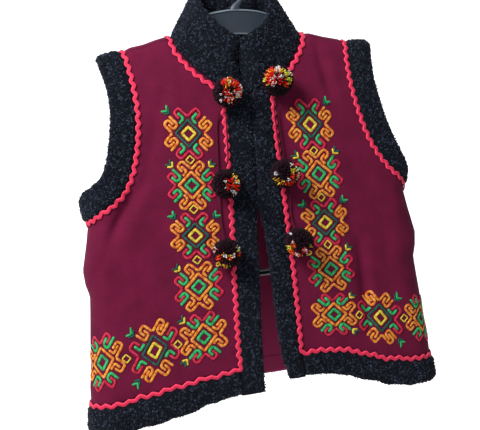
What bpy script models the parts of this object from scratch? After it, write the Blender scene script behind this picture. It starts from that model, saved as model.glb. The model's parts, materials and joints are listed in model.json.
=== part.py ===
"""Sleeveless folk vest with a boucle collar and borders, rickrack braid and
pompoms on cords, hanging on a moulded hanger.

Lengths in the tables are millimetres. Across is X (positive to the viewer's
right), "down" is measured below the top of the collar's front, and the front
of the vest faces -Y. The frame's origin is the inner top of the hook.
"""

import math

import bmesh
import bpy
import numpy as np
from mathutils import Vector

for old in list(bpy.data.objects):
    bpy.data.objects.remove(old, do_unlink=True)

MM = 0.001
FRONT = -1
BACK = 1

# Overall sizes.
HOOK_RISE = 115.0  # hook's inner top above the collar's front top
CLOTH = 2.4  # woollen cloth
SEAM = 0.4  # gap at a seam
BOUCLE_RISE = 4.8  # pile of the borders above the cloth's face
SHOULDER_R = 13.0  # rounding of the cloth over the hanger's arms
SIDE_R = 32.0  # half-breadth of the rounding at the sides
SIDE_ARC = 56.0  # cloth length of that rounding
SIDE_GAP = 0.3  # each panel stops this far short of the side seam
BAND_END = 0.6  # and a raised border this much farther
TOP_GAP = 0.2  # and this far short of the shoulder seam
CHEST_FULL = {FRONT: 42.0, BACK: 22.0}
CHEST_RUN = {FRONT: 70.0, BACK: 60.0}
CHEST_FLATTEN = 0.35

# Shoulder ridge: x, down. The viewer's left shoulder hangs a little higher.
RIDGE = [
    (-189, 15.5),
    (-180, 11.2),
    (-165, 8),
    (-150, 3.8),
    (-140, -0.6),
    (-124, -3),
    (-107, -8),
    (-94, -11),
    (-84, -8.2),
    (84, -3.6),
    (102, -3.8),
    (120, 1.6),
    (142, 6.6),
    (151, 11),
    (158, 13.2),
    (170, 13.4),
    (182, 14.6),
    (189, 17.5),
]

# Half-breadth of the body: down, across.
BODY = [
    (0, 225),
    (188, 222.5),
    (218, 218),
    (241, 222.5),
    (277, 231),
    (296, 229.5),
    (311, 225.5),
    (333, 227.5),
    (372, 231.6),
    (399, 233.5),
    (430, 238),
    (470, 240),
    (495, 243),
]

# Front opening edges: down, x of the viewer's left front, x of the right front.
OPENING = [
    (60, 2.5, 3.1),
    (100, 1.7, 2.3),
    (135, -0.3, 0.3),
    (175, -1.5, -0.9),
    (215, -3.7, -3.1),
    (250, -7.0, 2.8),
    (290, -8.4, 4.8),
    (333, -11.2, 5.6),
    (378, -14.2, 7.6),
    (419, -15.2, 10.9),
    (460, -16.4, 19.5),
]

# Seam between front border and cloth: down, across left, across right.
FRONT_SEAM = [
    (56, 35, 33),
    (97, 34, 31),
    (139, 35, 30.5),
    (218, 38, 33),
    (304, 43, 36),
    (403, 46.5, 37),
    (424, 47, 38.5),
    (462, 48, 40),
]

# Seam between hem border and cloth: across, down left, down right.
HEM_SEAM = [
    (38, 424, 417),
    (66, 429, 417),
    (96, 433, 422),
    (125, 438, 432),
    (155, 443.5, 444),
    (186, 448, 450),
    (212, 453, 453),
    (252, 456, 456),
]
OPENING_TOP = 75.0
CORNER_ACROSS = {-1: 45.0, 1: 38.5}  # where the front seam meets the hem seam
FRONT_HEM = 35.0  # height of the front border below that corner

# Lower edge of the hem border: across, down left, down right, down at the back.
HEM = [
    (0, 460, 448.5, 462),
    (21, 460, 448.5, 462),
    (57, 461, 449, 462),
    (86, 467.5, 454.5, 465),
    (108, 474, 463.5, 470),
    (131, 479, 471, 476),
    (155, 484.5, 481, 482),
    (185, 488.5, 488, 488),
    (260, 492.5, 492.5, 492.5),
]

# Armholes: seam across, seam down, edge across, edge down; shoulder to underarm.
ARMHOLE = {
    -1: [
        (152, 5, 185.9, 14.2),
        (147.5, 24, 183.3, 27.8),
        (144.3, 48, 178.3, 50),
        (142.6, 76, 176.8, 74),
        (143.3, 102, 179.3, 97.1),
        (147.5, 126, 183.3, 119.2),
        (153, 150, 187.8, 138.4),
        (161, 172, 193, 154.5),
        (173, 189, 201.1, 165.7),
        (190, 201, 211.2, 172.9),
        (206, 214, 220.1, 179.1),
    ],
    1: [
        (150, 9, 185.9, 18.2),
        (144.5, 26, 182.8, 33.7),
        (143, 48, 180.3, 53.8),
        (143.8, 76, 181.8, 76),
        (148.5, 102, 185.8, 99.1),
        (155, 130, 191.4, 122.2),
        (164, 153, 197.4, 140.4),
        (176, 175, 204.9, 157.6),
        (189, 190, 211.6, 169.8),
        (202, 201, 217.3, 179),
        (212, 212, 221.1, 185.2),
    ],
}
UNDERARM_SEAM = 221.0
UNDERARM_EDGE = 189.2
BACK_ARMHOLE_INSET = 7.0  # the back is cut this much narrower between the armholes

# Section of a sewn-on border: share of its width and run from the seam, height over
# the cloth, and height added where no braid lies along the seam.
BORDER_PROFILE = [
    (0, SEAM, 0.0, 3.4),
    (0, 6.0, 0.4, 3.8),
    (0, 9.5, 3.6, 0.9),
    (0.52, 0, BOUCLE_RISE, 0),
    (1, -4.5, BOUCLE_RISE - 0.4, 0),
    (1, -0.6, 1.9, 0),
    (1, 0, -0.7, 0),
    (1, -2.0, -CLOTH, 0),
    (0.5, 0, -CLOTH, 0),
    (0, SEAM, -CLOTH, 0),
]

# Hem border of the back, laid over the cloth: share of the way down, height over it.
BACK_BAND_HIGH = 35.0
BACK_BAND_BASE = 0.45
BACK_BAND_PROFILE = [(0, 0.4), (0.2, 0.8), (0.3, 4.2), (0.5, BOUCLE_RISE), (1.0, 3.8)]

# Neck seam on the front: across, down; from the border to the shoulder.
NECK_FRONT = [(34.5, 59.5), (42.5, 54), (53, 45.5), (65, 33.5), (76, 18.5), (82.5, 6), (86, -5)]
NECK_BACK = [(0, 8.5), (30, 8), (50, 7), (66, 4.5), (78, 0), (86, -5)]
NECK_HALF = NECK_FRONT[-1][0]
NECK_CENTRE = (2.8, 74.0)
NECK_EASE = 1.4  # the back's neck edge lies this far below the collar's foot

# Top edge of the collar: x, y, down on the left, down on the right; front to back.
COLLAR_TOP = [
    (0, -43, 1.1, 1.1),
    (14, -43.5, -6, -4.5),
    (27, -41, -17, -12.5),
    (39, -34, -32, -27.5),
    (47, -22, -50, -48),
    (48, -8, -65, -65),
    (44, 5, -73, -73),
    (36, 17, -78, -78),
    (21, 26, -81, -81),
    (0, 29, -82, -82),
]
COLLAR_V = -2.5  # x of the bottom of the V between the collar's ends
COLLAR_V_RUN = 30.0
COLLAR_OVERLAP = (17.0, 67.0)  # across from the opening, down: foot of the collar over the borders
COLLAR_GAP = 0.5  # from the middle to each end
COLLAR_BULGE = 1.0
COLLAR_THICK = 6.4
COLLAR_FOOT = 3.0
COLLAR_CROWN = 4.2
COLLAR_LIFT = 2.3
COLLAR_SWAY = -7.0  # the ends lean to the left half way up
COLLAR_SWAY_RUN = 30.0
COLLAR_ROLL = 6.0  # and are rolled inwards there
COLLAR_MIDDLE_Y = -6.0

# Soft creases: face, x0, down0, x1, down1, depth, half-width.
CREASES = [
    (FRONT, 105, 10, 114, 92, 2.4, 13),
    (FRONT, -160, 184, -200, 256, 3.0, 12),
    (FRONT, -207, 246, -224, 270, -2.2, 11),
    (FRONT, -196, 272, -186, 330, 2.4, 15),
    (FRONT, -150, 150, -112, 128, 1.8, 22),
    (FRONT, 136, 284, 137, 404, 4.0, 12),
    (FRONT, 116, 226, 134, 300, 1.8, 14),
    (FRONT, 186, 235, 192, 380, -2.4, 18),
    (BACK, -130, 60, -60, 130, 2.2, 18),
    (BACK, 120, 70, 70, 120, 2.0, 18),
    (BACK, -165, 250, -150, 400, 2.4, 18),
    (BACK, 170, 240, 140, 380, 2.4, 18),
    (BACK, 20, 280, 10, 420, -2.0, 22),
]

CREASE_START = 8.0  # creases fade out over this height below the shoulder ridge

# Rickrack braid.
RICK_WAVE = 16.3
RICK_SWING = 2.2
RICK_HALF = 2.7
RICK_THICK = 1.2
RICK_LIFT = 1.5
TRACE_CELLS = 160
RICK_LOOK = 3.0  # the braid's direction is taken over this run each way
RICK_END = 0.6  # a braid that ends at a side seam stops this far short of it
BACK_RICK_LIFT = 1.9
NECK_OUT = 6.0  # from the neck seam to the middle of its braid

# Pompoms: name, x, y, down.
POMPOM_R = 18.0
POMPOM_CORE = 13.2
LOCK_INSET = 1.1
LOCK_TAPER = 0.95
POMPOMS = [
    ("pompom_neck_left", -30.0, -62.7, 71.2),
    ("pompom_neck_right", 37.0, -59.7, 61.2),
    ("pompom_mid_left", -44.7, -72.2, 185.0),
    ("pompom_mid_right", 31.9, -72.6, 179.6),
    ("pompom_low_left", -52.8, -72.4, 272.0),
    ("pompom_low_right", 41.9, -74.2, 269.0),
]

# Cords: name, upper pompom, lower pompom, distance of the upper end from its
# pompom's centre, then x, clearance before the cloth's face, down of each guide.
CORD_R = 1.0
CORD_LOW_REACH = 16.7
CORDS = [
    (
        "cord_mid_left", "pompom_neck_left", "pompom_mid_left", 18.2,
        [(-33.2, 8.5, 100), (-35.3, 8.0, 130), (-37.5, 8.0, 155)],
    ),
    (
        "cord_low_left", "pompom_neck_left", "pompom_low_left", 17.8,
        [(-44, 2.7, 104), (-48.6, 2.5, 150), (-51.9, 2.5, 205), (-52.5, 3.0, 240)],
    ),
    (
        "cord_mid_right", "pompom_neck_right", "pompom_mid_right", 18.4,
        [(31.0, 8.0, 96), (30.4, 8.0, 120), (31.0, 8.5, 148)],
    ),
    (
        "cord_low_right", "pompom_neck_right", "pompom_low_right", 17.6,
        [(36, 5.0, 98), (36.5, 4.2, 130), (38.5, 2.6, 165), (40.5, 2.4, 205), (40.2, 3.0, 240)],
    ),
]
CORD_CELL = 5.5
CORD_ENTRY = (0.0, 9.0, -14.0)  # direction from a pompom's centre to its cord's end
CORD_STEPS = 12

# Hanger: across, top of the arm, lower side of the arm.
HANGER_ARM = [
    (0, -42, -8),
    (16, -40.8, -7),
    (32, -38.5, -5),
    (48, -33.5, -1),
    (60, -25, 4),
    (70, -15, 8),
    (77, -3.5, 10),
]
HANGER_OUTER = (86, 102, 118, 134, 150, 165, 176)
HANGER_CLEAR = 4.1  # from the cloth's outer face to the arm's top
HANGER_ARM_HIGH = 15.0
HANGER_TAPER = (150.0, 26.0, 4.5)  # from this x, over this run, the arm thins by this much
HANGER_TIP = (181.0, 3.5, 6.5)  # x, drop of its top, height
HANGER_FLANGE = 9.4
HANGER_ARM_WEB = 6.4
HANGER_RIM = 2.6
HANGER_RIM_SLOPE = 0.8
HANGER_LOW_FLANGE = 0.8  # lower rim's breadth as a share of the upper one's
HANGER_CHAMFER = 2.8
HANGER_STRUT_X = 46.0
HANGER_STRUT = (3.0, 2.2)  # half breadth, half depth
HANGER_STRUT_TOP = -3.4
HANGER_STRUT_LOW = 1.3  # below the bar's top
HANGER_BAR_TOP = 308.0
HANGER_BAR_LOW = 317.0
HANGER_BAR_HALF = 150.0
HANGER_BAR_FLANGE = 7.0
HANGER_BAR_WEB = 3.0
HOOK_R = 3.6
HOOK_INNER = 22.4
HOOK_STEM = [(4, -39), (6, -45), (12, -52), (16.5, -60), (21, -70)]
HOOK_DEGREES = range(-25, 206, 14)

# Stations of the panels.
ARM_CELLS = 12
SIDE_CELLS = 7
OVER_SHOULDER = (8.0, 18.0)
ROWS = ARM_CELLS + SIDE_CELLS
NECK_CELLS = 7
BACK_NECK_CELLS = 6
SHOULDER_CELLS = 4
COLUMNS = NECK_CELLS + SHOULDER_CELLS
BACK_COLUMNS = 2 * (BACK_NECK_CELLS + SHOULDER_CELLS)
HEM_CELLS = 2
SEAM_SAMPLES = 18
HEM_SEAM_ACROSS = (66, 96, 125, 155, 186, 212)
HEM_ACROSS = (66, 86, 108, 131, 155, 185, 212)
BACK_HEM_ACROSS = (30, 57, 86, 108, 131, 155, 185, 212)
SIDE_SEAM_ACROSS = 252
COLLAR_CELLS = 15
COLLAR_ROWS = 4
RIDGE_END = 187.0
RIDGE_BODY_END = 180.0
NEAR_MIDDLE = 0.001


def table(rows, column, key, key_column=0):
    keys = [row[key_column] for row in rows]
    values = [row[column] for row in rows]
    return float(np.interp(key, keys, values))


def ridge(x):
    return table(RIDGE, 1, x)


def half_breadth(down):
    return table(BODY, 1, down)


def crease_depth(face, x, down):
    """Sum of the soft troughs and ridges at this place."""
    total = 0.0
    for row_face, x0, down0, x1, down1, depth, width in CREASES:
        if row_face != face:
            continue
        run = (x1 - x0) ** 2 + (down1 - down0) ** 2
        along = ((x - x0) * (x1 - x0) + (down - down0) * (down1 - down0)) / run
        along = min(max(along, 0.0), 1.0)
        near_x = x0 + along * (x1 - x0)
        near_down = down0 + along * (down1 - down0)
        far = math.hypot(x - near_x, down - near_down)
        total -= depth * math.sin(math.pi * (0.15 + 0.7 * along)) * math.exp(-((far / width) ** 2))
    return total


def drop_of(v):
    """Height fallen and depth gained, v millimetres of cloth below the shoulder ridge."""
    quarter = SHOULDER_R * math.pi / 2
    if v < quarter:
        angle = v / SHOULDER_R
        return SHOULDER_R * (1 - math.cos(angle)), SHOULDER_R * math.sin(angle)
    return SHOULDER_R + v - quarter, SHOULDER_R


def surface(q, v, face):
    """Outer face of the cloth: q across and v down are lengths of cloth."""
    fall, round_depth = drop_of(max(v, 0.0))
    breadth = half_breadth(ridge(min(max(q, -RIDGE_BODY_END), RIDGE_BODY_END)) + fall)
    straight = breadth - SIDE_R
    across = abs(q)
    closing = 1.0
    if across > straight:
        angle = min((across - straight) / SIDE_ARC, 1.0) * math.pi / 2
        across = straight + SIDE_R * math.sin(angle)
        closing = math.cos(angle)
    x = math.copysign(across, q)
    down = ridge(x) + fall
    full = CHEST_FULL[face] * (1 - math.exp(-fall / CHEST_RUN[face]))
    full *= 1 - CHEST_FLATTEN * (across / 200.0) ** 2
    creased = crease_depth(face, x, down) * min(fall / CREASE_START, 1.0)
    depth = (round_depth + full + creased) * closing
    return Vector((x, face * depth, down))


def outward(q, v, face):
    """Unit normal of the cloth's outer face."""
    step = 0.4
    back_q = q - math.copysign(step, q)
    across = (surface(q, v, face) - surface(back_q, v, face)) * math.copysign(1, q)
    down = surface(q, v + step, face) - surface(q, max(v - step, 0.0), face)
    # The tables measure down, so the handedness is that of a mirrored frame.
    normal = across.cross(down) * -face
    return normal.normalized()


def to_cloth(x, down):
    """Lengths of cloth (q, v) of the point seen at x, down."""
    across = abs(x)
    fall = down - ridge(x)
    breadth = half_breadth(ridge(min(max(x, -RIDGE_BODY_END), RIDGE_BODY_END)) + fall)
    straight = breadth - SIDE_R
    if across > straight:
        angle = math.asin(min((across - straight) / SIDE_R, 1.0))
        across = straight + SIDE_ARC * angle / (math.pi / 2)
    if fall < SHOULDER_R:
        v = SHOULDER_R * math.acos(1 - max(fall, 0.0) / SHOULDER_R)
    else:
        v = SHOULDER_R * math.pi / 2 + fall - SHOULDER_R
    return np.array([math.copysign(across, x), v])


def side_point(side, down):
    """End of a line of cloth at the side seam, a small gap short of it."""
    fall = down - ridge(side * RIDGE_END)
    q = half_breadth(ridge(side * RIDGE_BODY_END) + fall) - SIDE_R + SIDE_ARC
    v = SHOULDER_R * math.pi / 2 + fall - SHOULDER_R
    return np.array([side * (q - SIDE_GAP), v])


def resample(points, cells, early=()):
    """Points at equal lengths along a line, after those asked for early on it."""
    points = np.array(points, float)
    steps = np.linalg.norm(np.diff(points, axis=0), axis=1)
    at = np.concatenate([[0.0], np.cumsum(steps)])
    start = early[-1] if early else 0.0
    rest = np.linspace(start, at[-1], cells + 1 - len(early))
    wanted = np.concatenate([[0.0], early[:-1], rest]) if early else rest
    return np.stack([np.interp(wanted, at, points[:, k]) for k in range(points.shape[1])], axis=1)


def chain(*lines):
    """Joins lines that share their end points."""
    joined = [lines[0]]
    for line in lines[1:]:
        joined.append(line[1:])
    return np.concatenate(joined)


def coons(top, bottom, inner, outer):
    """Grid of cloth points that meets four border lines."""
    columns = len(top) - 1
    rows = len(inner) - 1
    grid = np.zeros((rows + 1, columns + 1, 2))
    for r in range(rows + 1):
        b = r / rows
        for c in range(columns + 1):
            a = c / columns
            ruled = (1 - b) * top[c] + b * bottom[c] + (1 - a) * inner[r] + a * outer[r]
            corners = (1 - a) * (1 - b) * top[0] + a * (1 - b) * top[-1]
            corners = corners + (1 - a) * b * bottom[0] + a * b * bottom[-1]
            grid[r, c] = ruled - corners
    return grid


def to_frame(point):
    return (point[0] * MM, point[1] * MM, -(point[2] + HOOK_RISE) * MM)


def material(name, colour, roughness, metallic=0.0):
    made = bpy.data.materials.new(name)
    made.use_nodes = True
    shader = made.node_tree.nodes["Principled BSDF"]
    shader.inputs["Base Color"].default_value = (*colour, 1.0)
    shader.inputs["Roughness"].default_value = roughness
    shader.inputs["Metallic"].default_value = metallic
    return made


LOOKS = {
    "cloth": ((0.168, 0.016, 0.050), 0.85),
    "boucle": ((0.012, 0.015, 0.026), 0.95),
    "rickrack": ((0.75, 0.03, 0.09), 0.6),
    "cord": ((0.06, 0.008, 0.015), 0.8),
    "pompom": ((0.045, 0.008, 0.015), 0.95),
    "hanger": ((0.05, 0.065, 0.09), 0.4),
}


def add_object(name, points, faces, look):
    """Mesh object from points in table coordinates, with its faces turned outwards."""
    mesh = bpy.data.meshes.new(name)
    mesh.from_pydata([to_frame(p) for p in points], [], faces)
    work = bmesh.new()
    work.from_mesh(mesh)
    bmesh.ops.recalc_face_normals(work, faces=work.faces)
    bmesh.ops.triangulate(work, faces=work.faces)
    work.to_mesh(mesh)
    work.free()
    mesh.shade_smooth()
    mesh.set_sharp_from_angle(angle=math.radians(40))
    obj = bpy.data.objects.new(name, mesh)
    colour, roughness = LOOKS[look]
    mesh.materials.append(material(name, colour, roughness))
    bpy.context.collection.objects.link(obj)
    return obj


def shell(outer, inner):
    """Points and faces of a wall between two equal grids."""
    rows, columns = outer.shape[0], outer.shape[1]
    points = [tuple(p) for p in outer.reshape(-1, 3)]
    points += [tuple(p) for p in inner.reshape(-1, 3)]
    back = rows * columns
    last_row, last_column = rows - 1, columns - 1

    def at(r, c, layer):
        return layer * back + r * columns + c

    faces = []
    for r in range(last_row):
        for c in range(last_column):
            faces.append((at(r, c, 0), at(r, c + 1, 0), at(r + 1, c + 1, 0), at(r + 1, c, 0)))
            faces.append((at(r, c, 1), at(r + 1, c, 1), at(r + 1, c + 1, 1), at(r, c + 1, 1)))
        for c in (0, last_column):
            faces.append((at(r, c, 0), at(r + 1, c, 0), at(r + 1, c, 1), at(r, c, 1)))
    for c in range(last_column):
        for r in (0, last_row):
            faces.append((at(r, c, 0), at(r, c, 1), at(r, c + 1, 1), at(r, c + 1, 0)))
    return points, faces


def cloth_panel(name, grid, face):
    rows, columns = grid.shape[0], grid.shape[1]
    outer = np.zeros((rows, columns, 3))
    inner = np.zeros((rows, columns, 3))
    for r in range(rows):
        for c in range(columns):
            q, v = grid[r, c]
            place = surface(q, v, face)
            outer[r, c] = place
            inner[r, c] = place - outward(q, v, face) * CLOTH
    points, faces = shell(outer, inner)
    return add_object(name, points, faces, "cloth")


def sweep(name, sections, closed, look):
    """Closed tube through equal sections; the ends are filled when the path is open."""
    count = len(sections[0])
    points = [p for section in sections for p in section]
    faces = []
    total = len(sections)
    for s in range(total if closed else total - 1):
        after = (s + 1) % total
        for k in range(count):
            nxt = (k + 1) % count
            faces.append((s * count + k, s * count + nxt, after * count + nxt, after * count + k))
    if not closed:
        faces.append(tuple(range(count)))
        faces.append(tuple((total - 1) * count + k for k in range(count)))
    return add_object(name, points, faces, look)


def border_section(seam, edge, face, braided=1.0):
    """Section of a boucle border from its seam to its edge; braided is 1 where braid lies on the seam."""
    width = float(np.linalg.norm(edge - seam))
    section = []
    for share, run, height, added in BORDER_PROFILE:
        q, v = seam + (edge - seam) * (share + run / width)
        rise = height + added * (1.0 - braided)
        section.append(surface(q, v, face) + outward(q, v, face) * rise)
    return section


def side_seam(side, top_down, low_down):
    """Side seam from the underarm down to a hem line."""
    levels = np.linspace(top_down, low_down, SIDE_CELLS + 1)
    return np.array([side_point(side, level) for level in levels])


def side_line(points, side):
    return [to_cloth(side * x, down) for x, down in points]


# ---------------------------------------------------------------- borders' lines
def armhole_lines(side, face):
    """Seam and edge of one armhole, shoulder to underarm, with matching stations."""
    rows = ARMHOLE[side]
    seam, edge = [], []
    for k, (seam_x, seam_down, edge_x, edge_down) in enumerate(rows):
        inset = BACK_ARMHOLE_INSET * math.sin(math.pi * k / len(rows)) if face == BACK else 0.0
        seam.append(to_cloth(side * (seam_x - inset), seam_down))
        edge.append(to_cloth(side * (edge_x - inset), edge_down))
    seam.append(side_point(side, UNDERARM_SEAM))
    edge.append(side_point(side, UNDERARM_EDGE))
    seam_line = resample(seam, ARM_CELLS, OVER_SHOULDER)
    edge_line = resample(edge, ARM_CELLS, OVER_SHOULDER)
    # At the shoulder both lines start on the ridge itself.
    seam_line[0][1] = 0.0
    edge_line[0][1] = 0.0
    return seam_line, edge_line


def opening_x(side, down):
    return table(OPENING, 1 if side < 0 else 2, down)


def front_seam_x(side, down):
    return side * table(FRONT_SEAM, 1 if side < 0 else 2, down)


def hem_seam_down(side, across):
    return table(HEM_SEAM, 1 if side < 0 else 2, across)


def side_hem_seam(side):
    return hem_seam_down(side, SIDE_SEAM_ACROSS)


def hem_down(side, across, face):
    column = 3 if face == BACK else (1 if side < 0 else 2)
    return table(HEM, column, across)


def corner_down(side):
    return hem_seam_down(side, CORNER_ACROSS[side])


def front_seam_line(side):
    """Seam of cloth and front border, neck to hem corner."""
    start = NECK_FRONT[0]
    low = corner_down(side)
    points = [to_cloth(side * start[0], start[1])]
    for down in np.linspace(start[1] + 20, low, SEAM_SAMPLES):
        points.append(to_cloth(front_seam_x(side, down), down))
    return resample(points, ROWS)


def hem_seam_line(side):
    """Seam of cloth and hem border, hem corner to side seam."""
    low = corner_down(side)
    first = abs(front_seam_x(side, low))
    points = [to_cloth(side * first, low)]
    for across in HEM_SEAM_ACROSS:
        points.append(to_cloth(side * across, hem_seam_down(side, across)))
    points.append(side_point(side, side_hem_seam(side)))
    return resample(points, COLUMNS)


def hem_edge_line(side, face):
    low = corner_down(side)
    first = abs(front_seam_x(side, low + FRONT_HEM))
    points = [to_cloth(side * first, hem_down(side, first, face))]
    for across in HEM_ACROSS:
        points.append(to_cloth(side * across, hem_down(side, across, face)))
    points.append(side_point(side, hem_down(side, SIDE_SEAM_ACROSS, face)))
    return resample(points, COLUMNS)


# ---------------------------------------------------------------- fronts
for side, word in ((-1, "left"), (1, "right")):
    arm_seam, arm_edge = armhole_lines(side, FRONT)
    back_seam, back_edge = armhole_lines(side, BACK)
    neck = resample(side_line(NECK_FRONT, side)[::-1], NECK_CELLS, OVER_SHOULDER[:1])[::-1]
    neck[-1][1] = TOP_GAP
    shoulder_end = arm_seam[0].copy()
    shoulder_end[1] = TOP_GAP
    shoulder = resample([neck[-1], shoulder_end], SHOULDER_CELLS)
    top = chain(neck, shoulder)
    hem_seam = hem_seam_line(side)
    side_run = side_seam(side, UNDERARM_SEAM, side_hem_seam(side))
    outer_line = chain(arm_seam, side_run)
    outer_line[0] = shoulder_end
    inner_line = front_seam_line(side)
    panel = coons(top, hem_seam, inner_line, outer_line)
    cloth_panel("front_" + word, panel, FRONT)

    # Front border, from the neck seam to the lower edge.
    low = corner_down(side)
    edge_points = [to_cloth(opening_x(side, OPENING_TOP), OPENING_TOP)]
    for down in np.linspace(OPENING_TOP + 15, low, SEAM_SAMPLES):
        edge_points.append(to_cloth(opening_x(side, down), down))
    border_seam = list(inner_line)
    border_edge = list(resample(edge_points, ROWS))
    braided = [1.0] * (ROWS + 1)
    for k in range(1, HEM_CELLS + 1):
        share = k / HEM_CELLS
        seam_x = front_seam_x(side, low + FRONT_HEM * share)
        seam_low = low + share * (hem_down(side, abs(seam_x), FRONT) - low)
        edge_x = opening_x(side, low + FRONT_HEM * share)
        edge_low = low + share * (hem_down(side, abs(edge_x), FRONT) - low)
        border_seam.append(to_cloth(seam_x, seam_low))
        border_edge.append(to_cloth(edge_x, edge_low))
        braided.append(0.0)
    sections = []
    for row in zip(border_seam, border_edge, braided):
        sections.append(border_section(*row[:2], FRONT, row[2]))
    sweep("front_band_" + word, sections, False, "boucle")

    # Hem border of the front, beside the front border.
    hem_edge = hem_edge_line(side, FRONT)
    hem_edge[0] = border_seam[-1]
    sections = []
    shifts = {0: side * SEAM, COLUMNS: -side * BAND_END}
    for k, (seam, edge) in enumerate(zip(hem_seam, hem_edge)):
        shift = np.array([shifts.get(k, 0.0), 0.0])
        sections.append(border_section(seam + shift, edge + shift, FRONT))
    sweep("hem_band_" + word, sections, False, "boucle")

    # Armhole border: one ring over the shoulder and under the arm.
    sections = []
    for k in range(ARM_CELLS + 1):
        sections.append(border_section(arm_seam[k], arm_edge[k], FRONT))
    for k in range(ARM_CELLS - 1, 0, -1):
        sections.append(border_section(back_seam[k], back_edge[k], BACK))
    sweep("armhole_band_" + word, sections, True, "boucle")

# ---------------------------------------------------------------- back
arm_right, _ = armhole_lines(1, BACK)
arm_left, _ = armhole_lines(-1, BACK)


def half_back_top(side, arm_seam):
    """Neck and shoulder of the back, from its middle to the armhole."""
    rows = [(max(x, NEAR_MIDDLE), down + NECK_EASE) for x, down in NECK_BACK]
    neck_line = side_line(rows, side)
    neck_line[-1][1] = TOP_GAP
    neck_line = resample(neck_line[::-1], BACK_NECK_CELLS, OVER_SHOULDER[:1])[::-1]
    tip = arm_seam[0].copy()
    tip[1] = TOP_GAP
    return chain(neck_line, resample([neck_line[-1], tip], SHOULDER_CELLS))


def back_line(drop):
    """Line across the back, drop millimetres above its lower edge."""
    halves = []
    for side in (-1, 1):
        half = [side_point(side, hem_down(side, SIDE_SEAM_ACROSS, BACK) - drop)]
        for across in reversed(BACK_HEM_ACROSS):
            half.append(to_cloth(side * across, hem_down(side, across, BACK) - drop))
        halves.append(half)
    middle = to_cloth(NEAR_MIDDLE, hem_down(1, 0, BACK) - drop)
    return resample(halves[0] + [middle] + halves[1][::-1], BACK_COLUMNS)


def back_side_line(side, arm_seam, tip):
    """Outer edge of the back's upper part, from the shoulder to the hem border."""
    low = hem_down(side, SIDE_SEAM_ACROSS, BACK) - BACK_BAND_HIGH
    line = chain(arm_seam, side_seam(side, UNDERARM_SEAM, low))
    line[0] = tip
    return line


top = np.concatenate([half_back_top(-1, arm_left)[::-1], half_back_top(1, arm_right)[1:]])
band_top = back_line(BACK_BAND_HIGH)
left_line = back_side_line(-1, arm_left, top[0])
right_line = back_side_line(1, arm_right, top[-1])
upper = coons(top, band_top, left_line, right_line)
middle = back_line(BACK_BAND_HIGH / 2)
lower = back_line(0.0)
back_grid = np.concatenate([upper, middle[None], lower[None]])
cloth_panel("back", back_grid, BACK)

# Hem border of the back, laid on the cloth, which reaches the lower edge behind it.
sections = []
profile = [(share, height + BACK_BAND_BASE) for share, height in BACK_BAND_PROFILE]
profile += [(share, BACK_BAND_BASE) for share in (1.0, 0.5, 0.0)]
shifts = {0: BAND_END, BACK_COLUMNS: -BAND_END}
for c in range(BACK_COLUMNS + 1):
    section = []
    for share, height in profile:
        q, v = band_top[c] * (1 - share) + lower[c] * share
        q += shifts.get(c, 0.0)
        section.append(surface(q, v, BACK) + outward(q, v, BACK) * height)
    sections.append(section)
sweep("hem_band_back", sections, False, "boucle")

# ---------------------------------------------------------------- collar


def collar_half(side):
    """Foot and top of the collar, from the front opening to the middle of the back."""
    start = NECK_CENTRE[0] + side * COLLAR_GAP
    across, low = COLLAR_OVERLAP
    foot = []
    for x, down in ((start, NECK_CENTRE[1]), (start + side * across, low)):
        foot.append(surface(*to_cloth(x, down), FRONT))
    for x, down in NECK_FRONT[:-1]:
        foot.append(surface(*to_cloth(side * x, down), FRONT))
    foot.append(surface(side * NECK_HALF, 0.0, FRONT))
    for x, down in reversed(NECK_BACK[:-1]):
        foot.append(surface(*to_cloth(side * max(x, NEAR_MIDDLE), down), BACK))
    crown = []
    for k, (x, y, down_left, down_right) in enumerate(COLLAR_TOP):
        shift = COLLAR_V * max(0.0, 1 - x / COLLAR_V_RUN) if y < 0 else 0.0
        gap = 2 * COLLAR_GAP if k == 0 else 0.0
        crown.append((side * (x + gap) + shift, y, down_left if side < 0 else down_right))
    return resample(foot, COLLAR_CELLS), resample(crown, COLLAR_CELLS)


def from_collar_middle(place):
    return np.array([place[0], place[1] - COLLAR_MIDDLE_Y, 0.0])


foot_right, crown_right = collar_half(1)
foot_left, crown_left = collar_half(-1)
foot = np.concatenate([foot_right, foot_left[::-1][1:]])
crown = np.concatenate([crown_right, crown_left[::-1][1:]])
stations = len(foot)
run = np.concatenate([[0.0], np.cumsum(np.linalg.norm(np.diff(foot, axis=0), axis=1))])
from_end = np.minimum(run, run[-1] - run)
wall = np.zeros((COLLAR_ROWS + 1, stations, 3))
for r in range(COLLAR_ROWS + 1):
    share = r / COLLAR_ROWS
    for c in range(stations):
        rise = crown[c] - foot[c]
        start = foot[c] + rise * (COLLAR_LIFT / np.linalg.norm(rise))
        place = start + (crown[c] - start) * share
        away = from_collar_middle(place)
        away = away / np.linalg.norm(away)
        middling = 4 * share * (1 - share)
        place = place + away * (COLLAR_BULGE * middling * abs(away[0]) ** 0.7)
        place[0] += COLLAR_SWAY * middling * max(0.0, 1 - from_end[c] / COLLAR_SWAY_RUN)
        wall[r, c] = place
outer = np.zeros_like(wall)
inner = np.zeros_like(wall)
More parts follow.
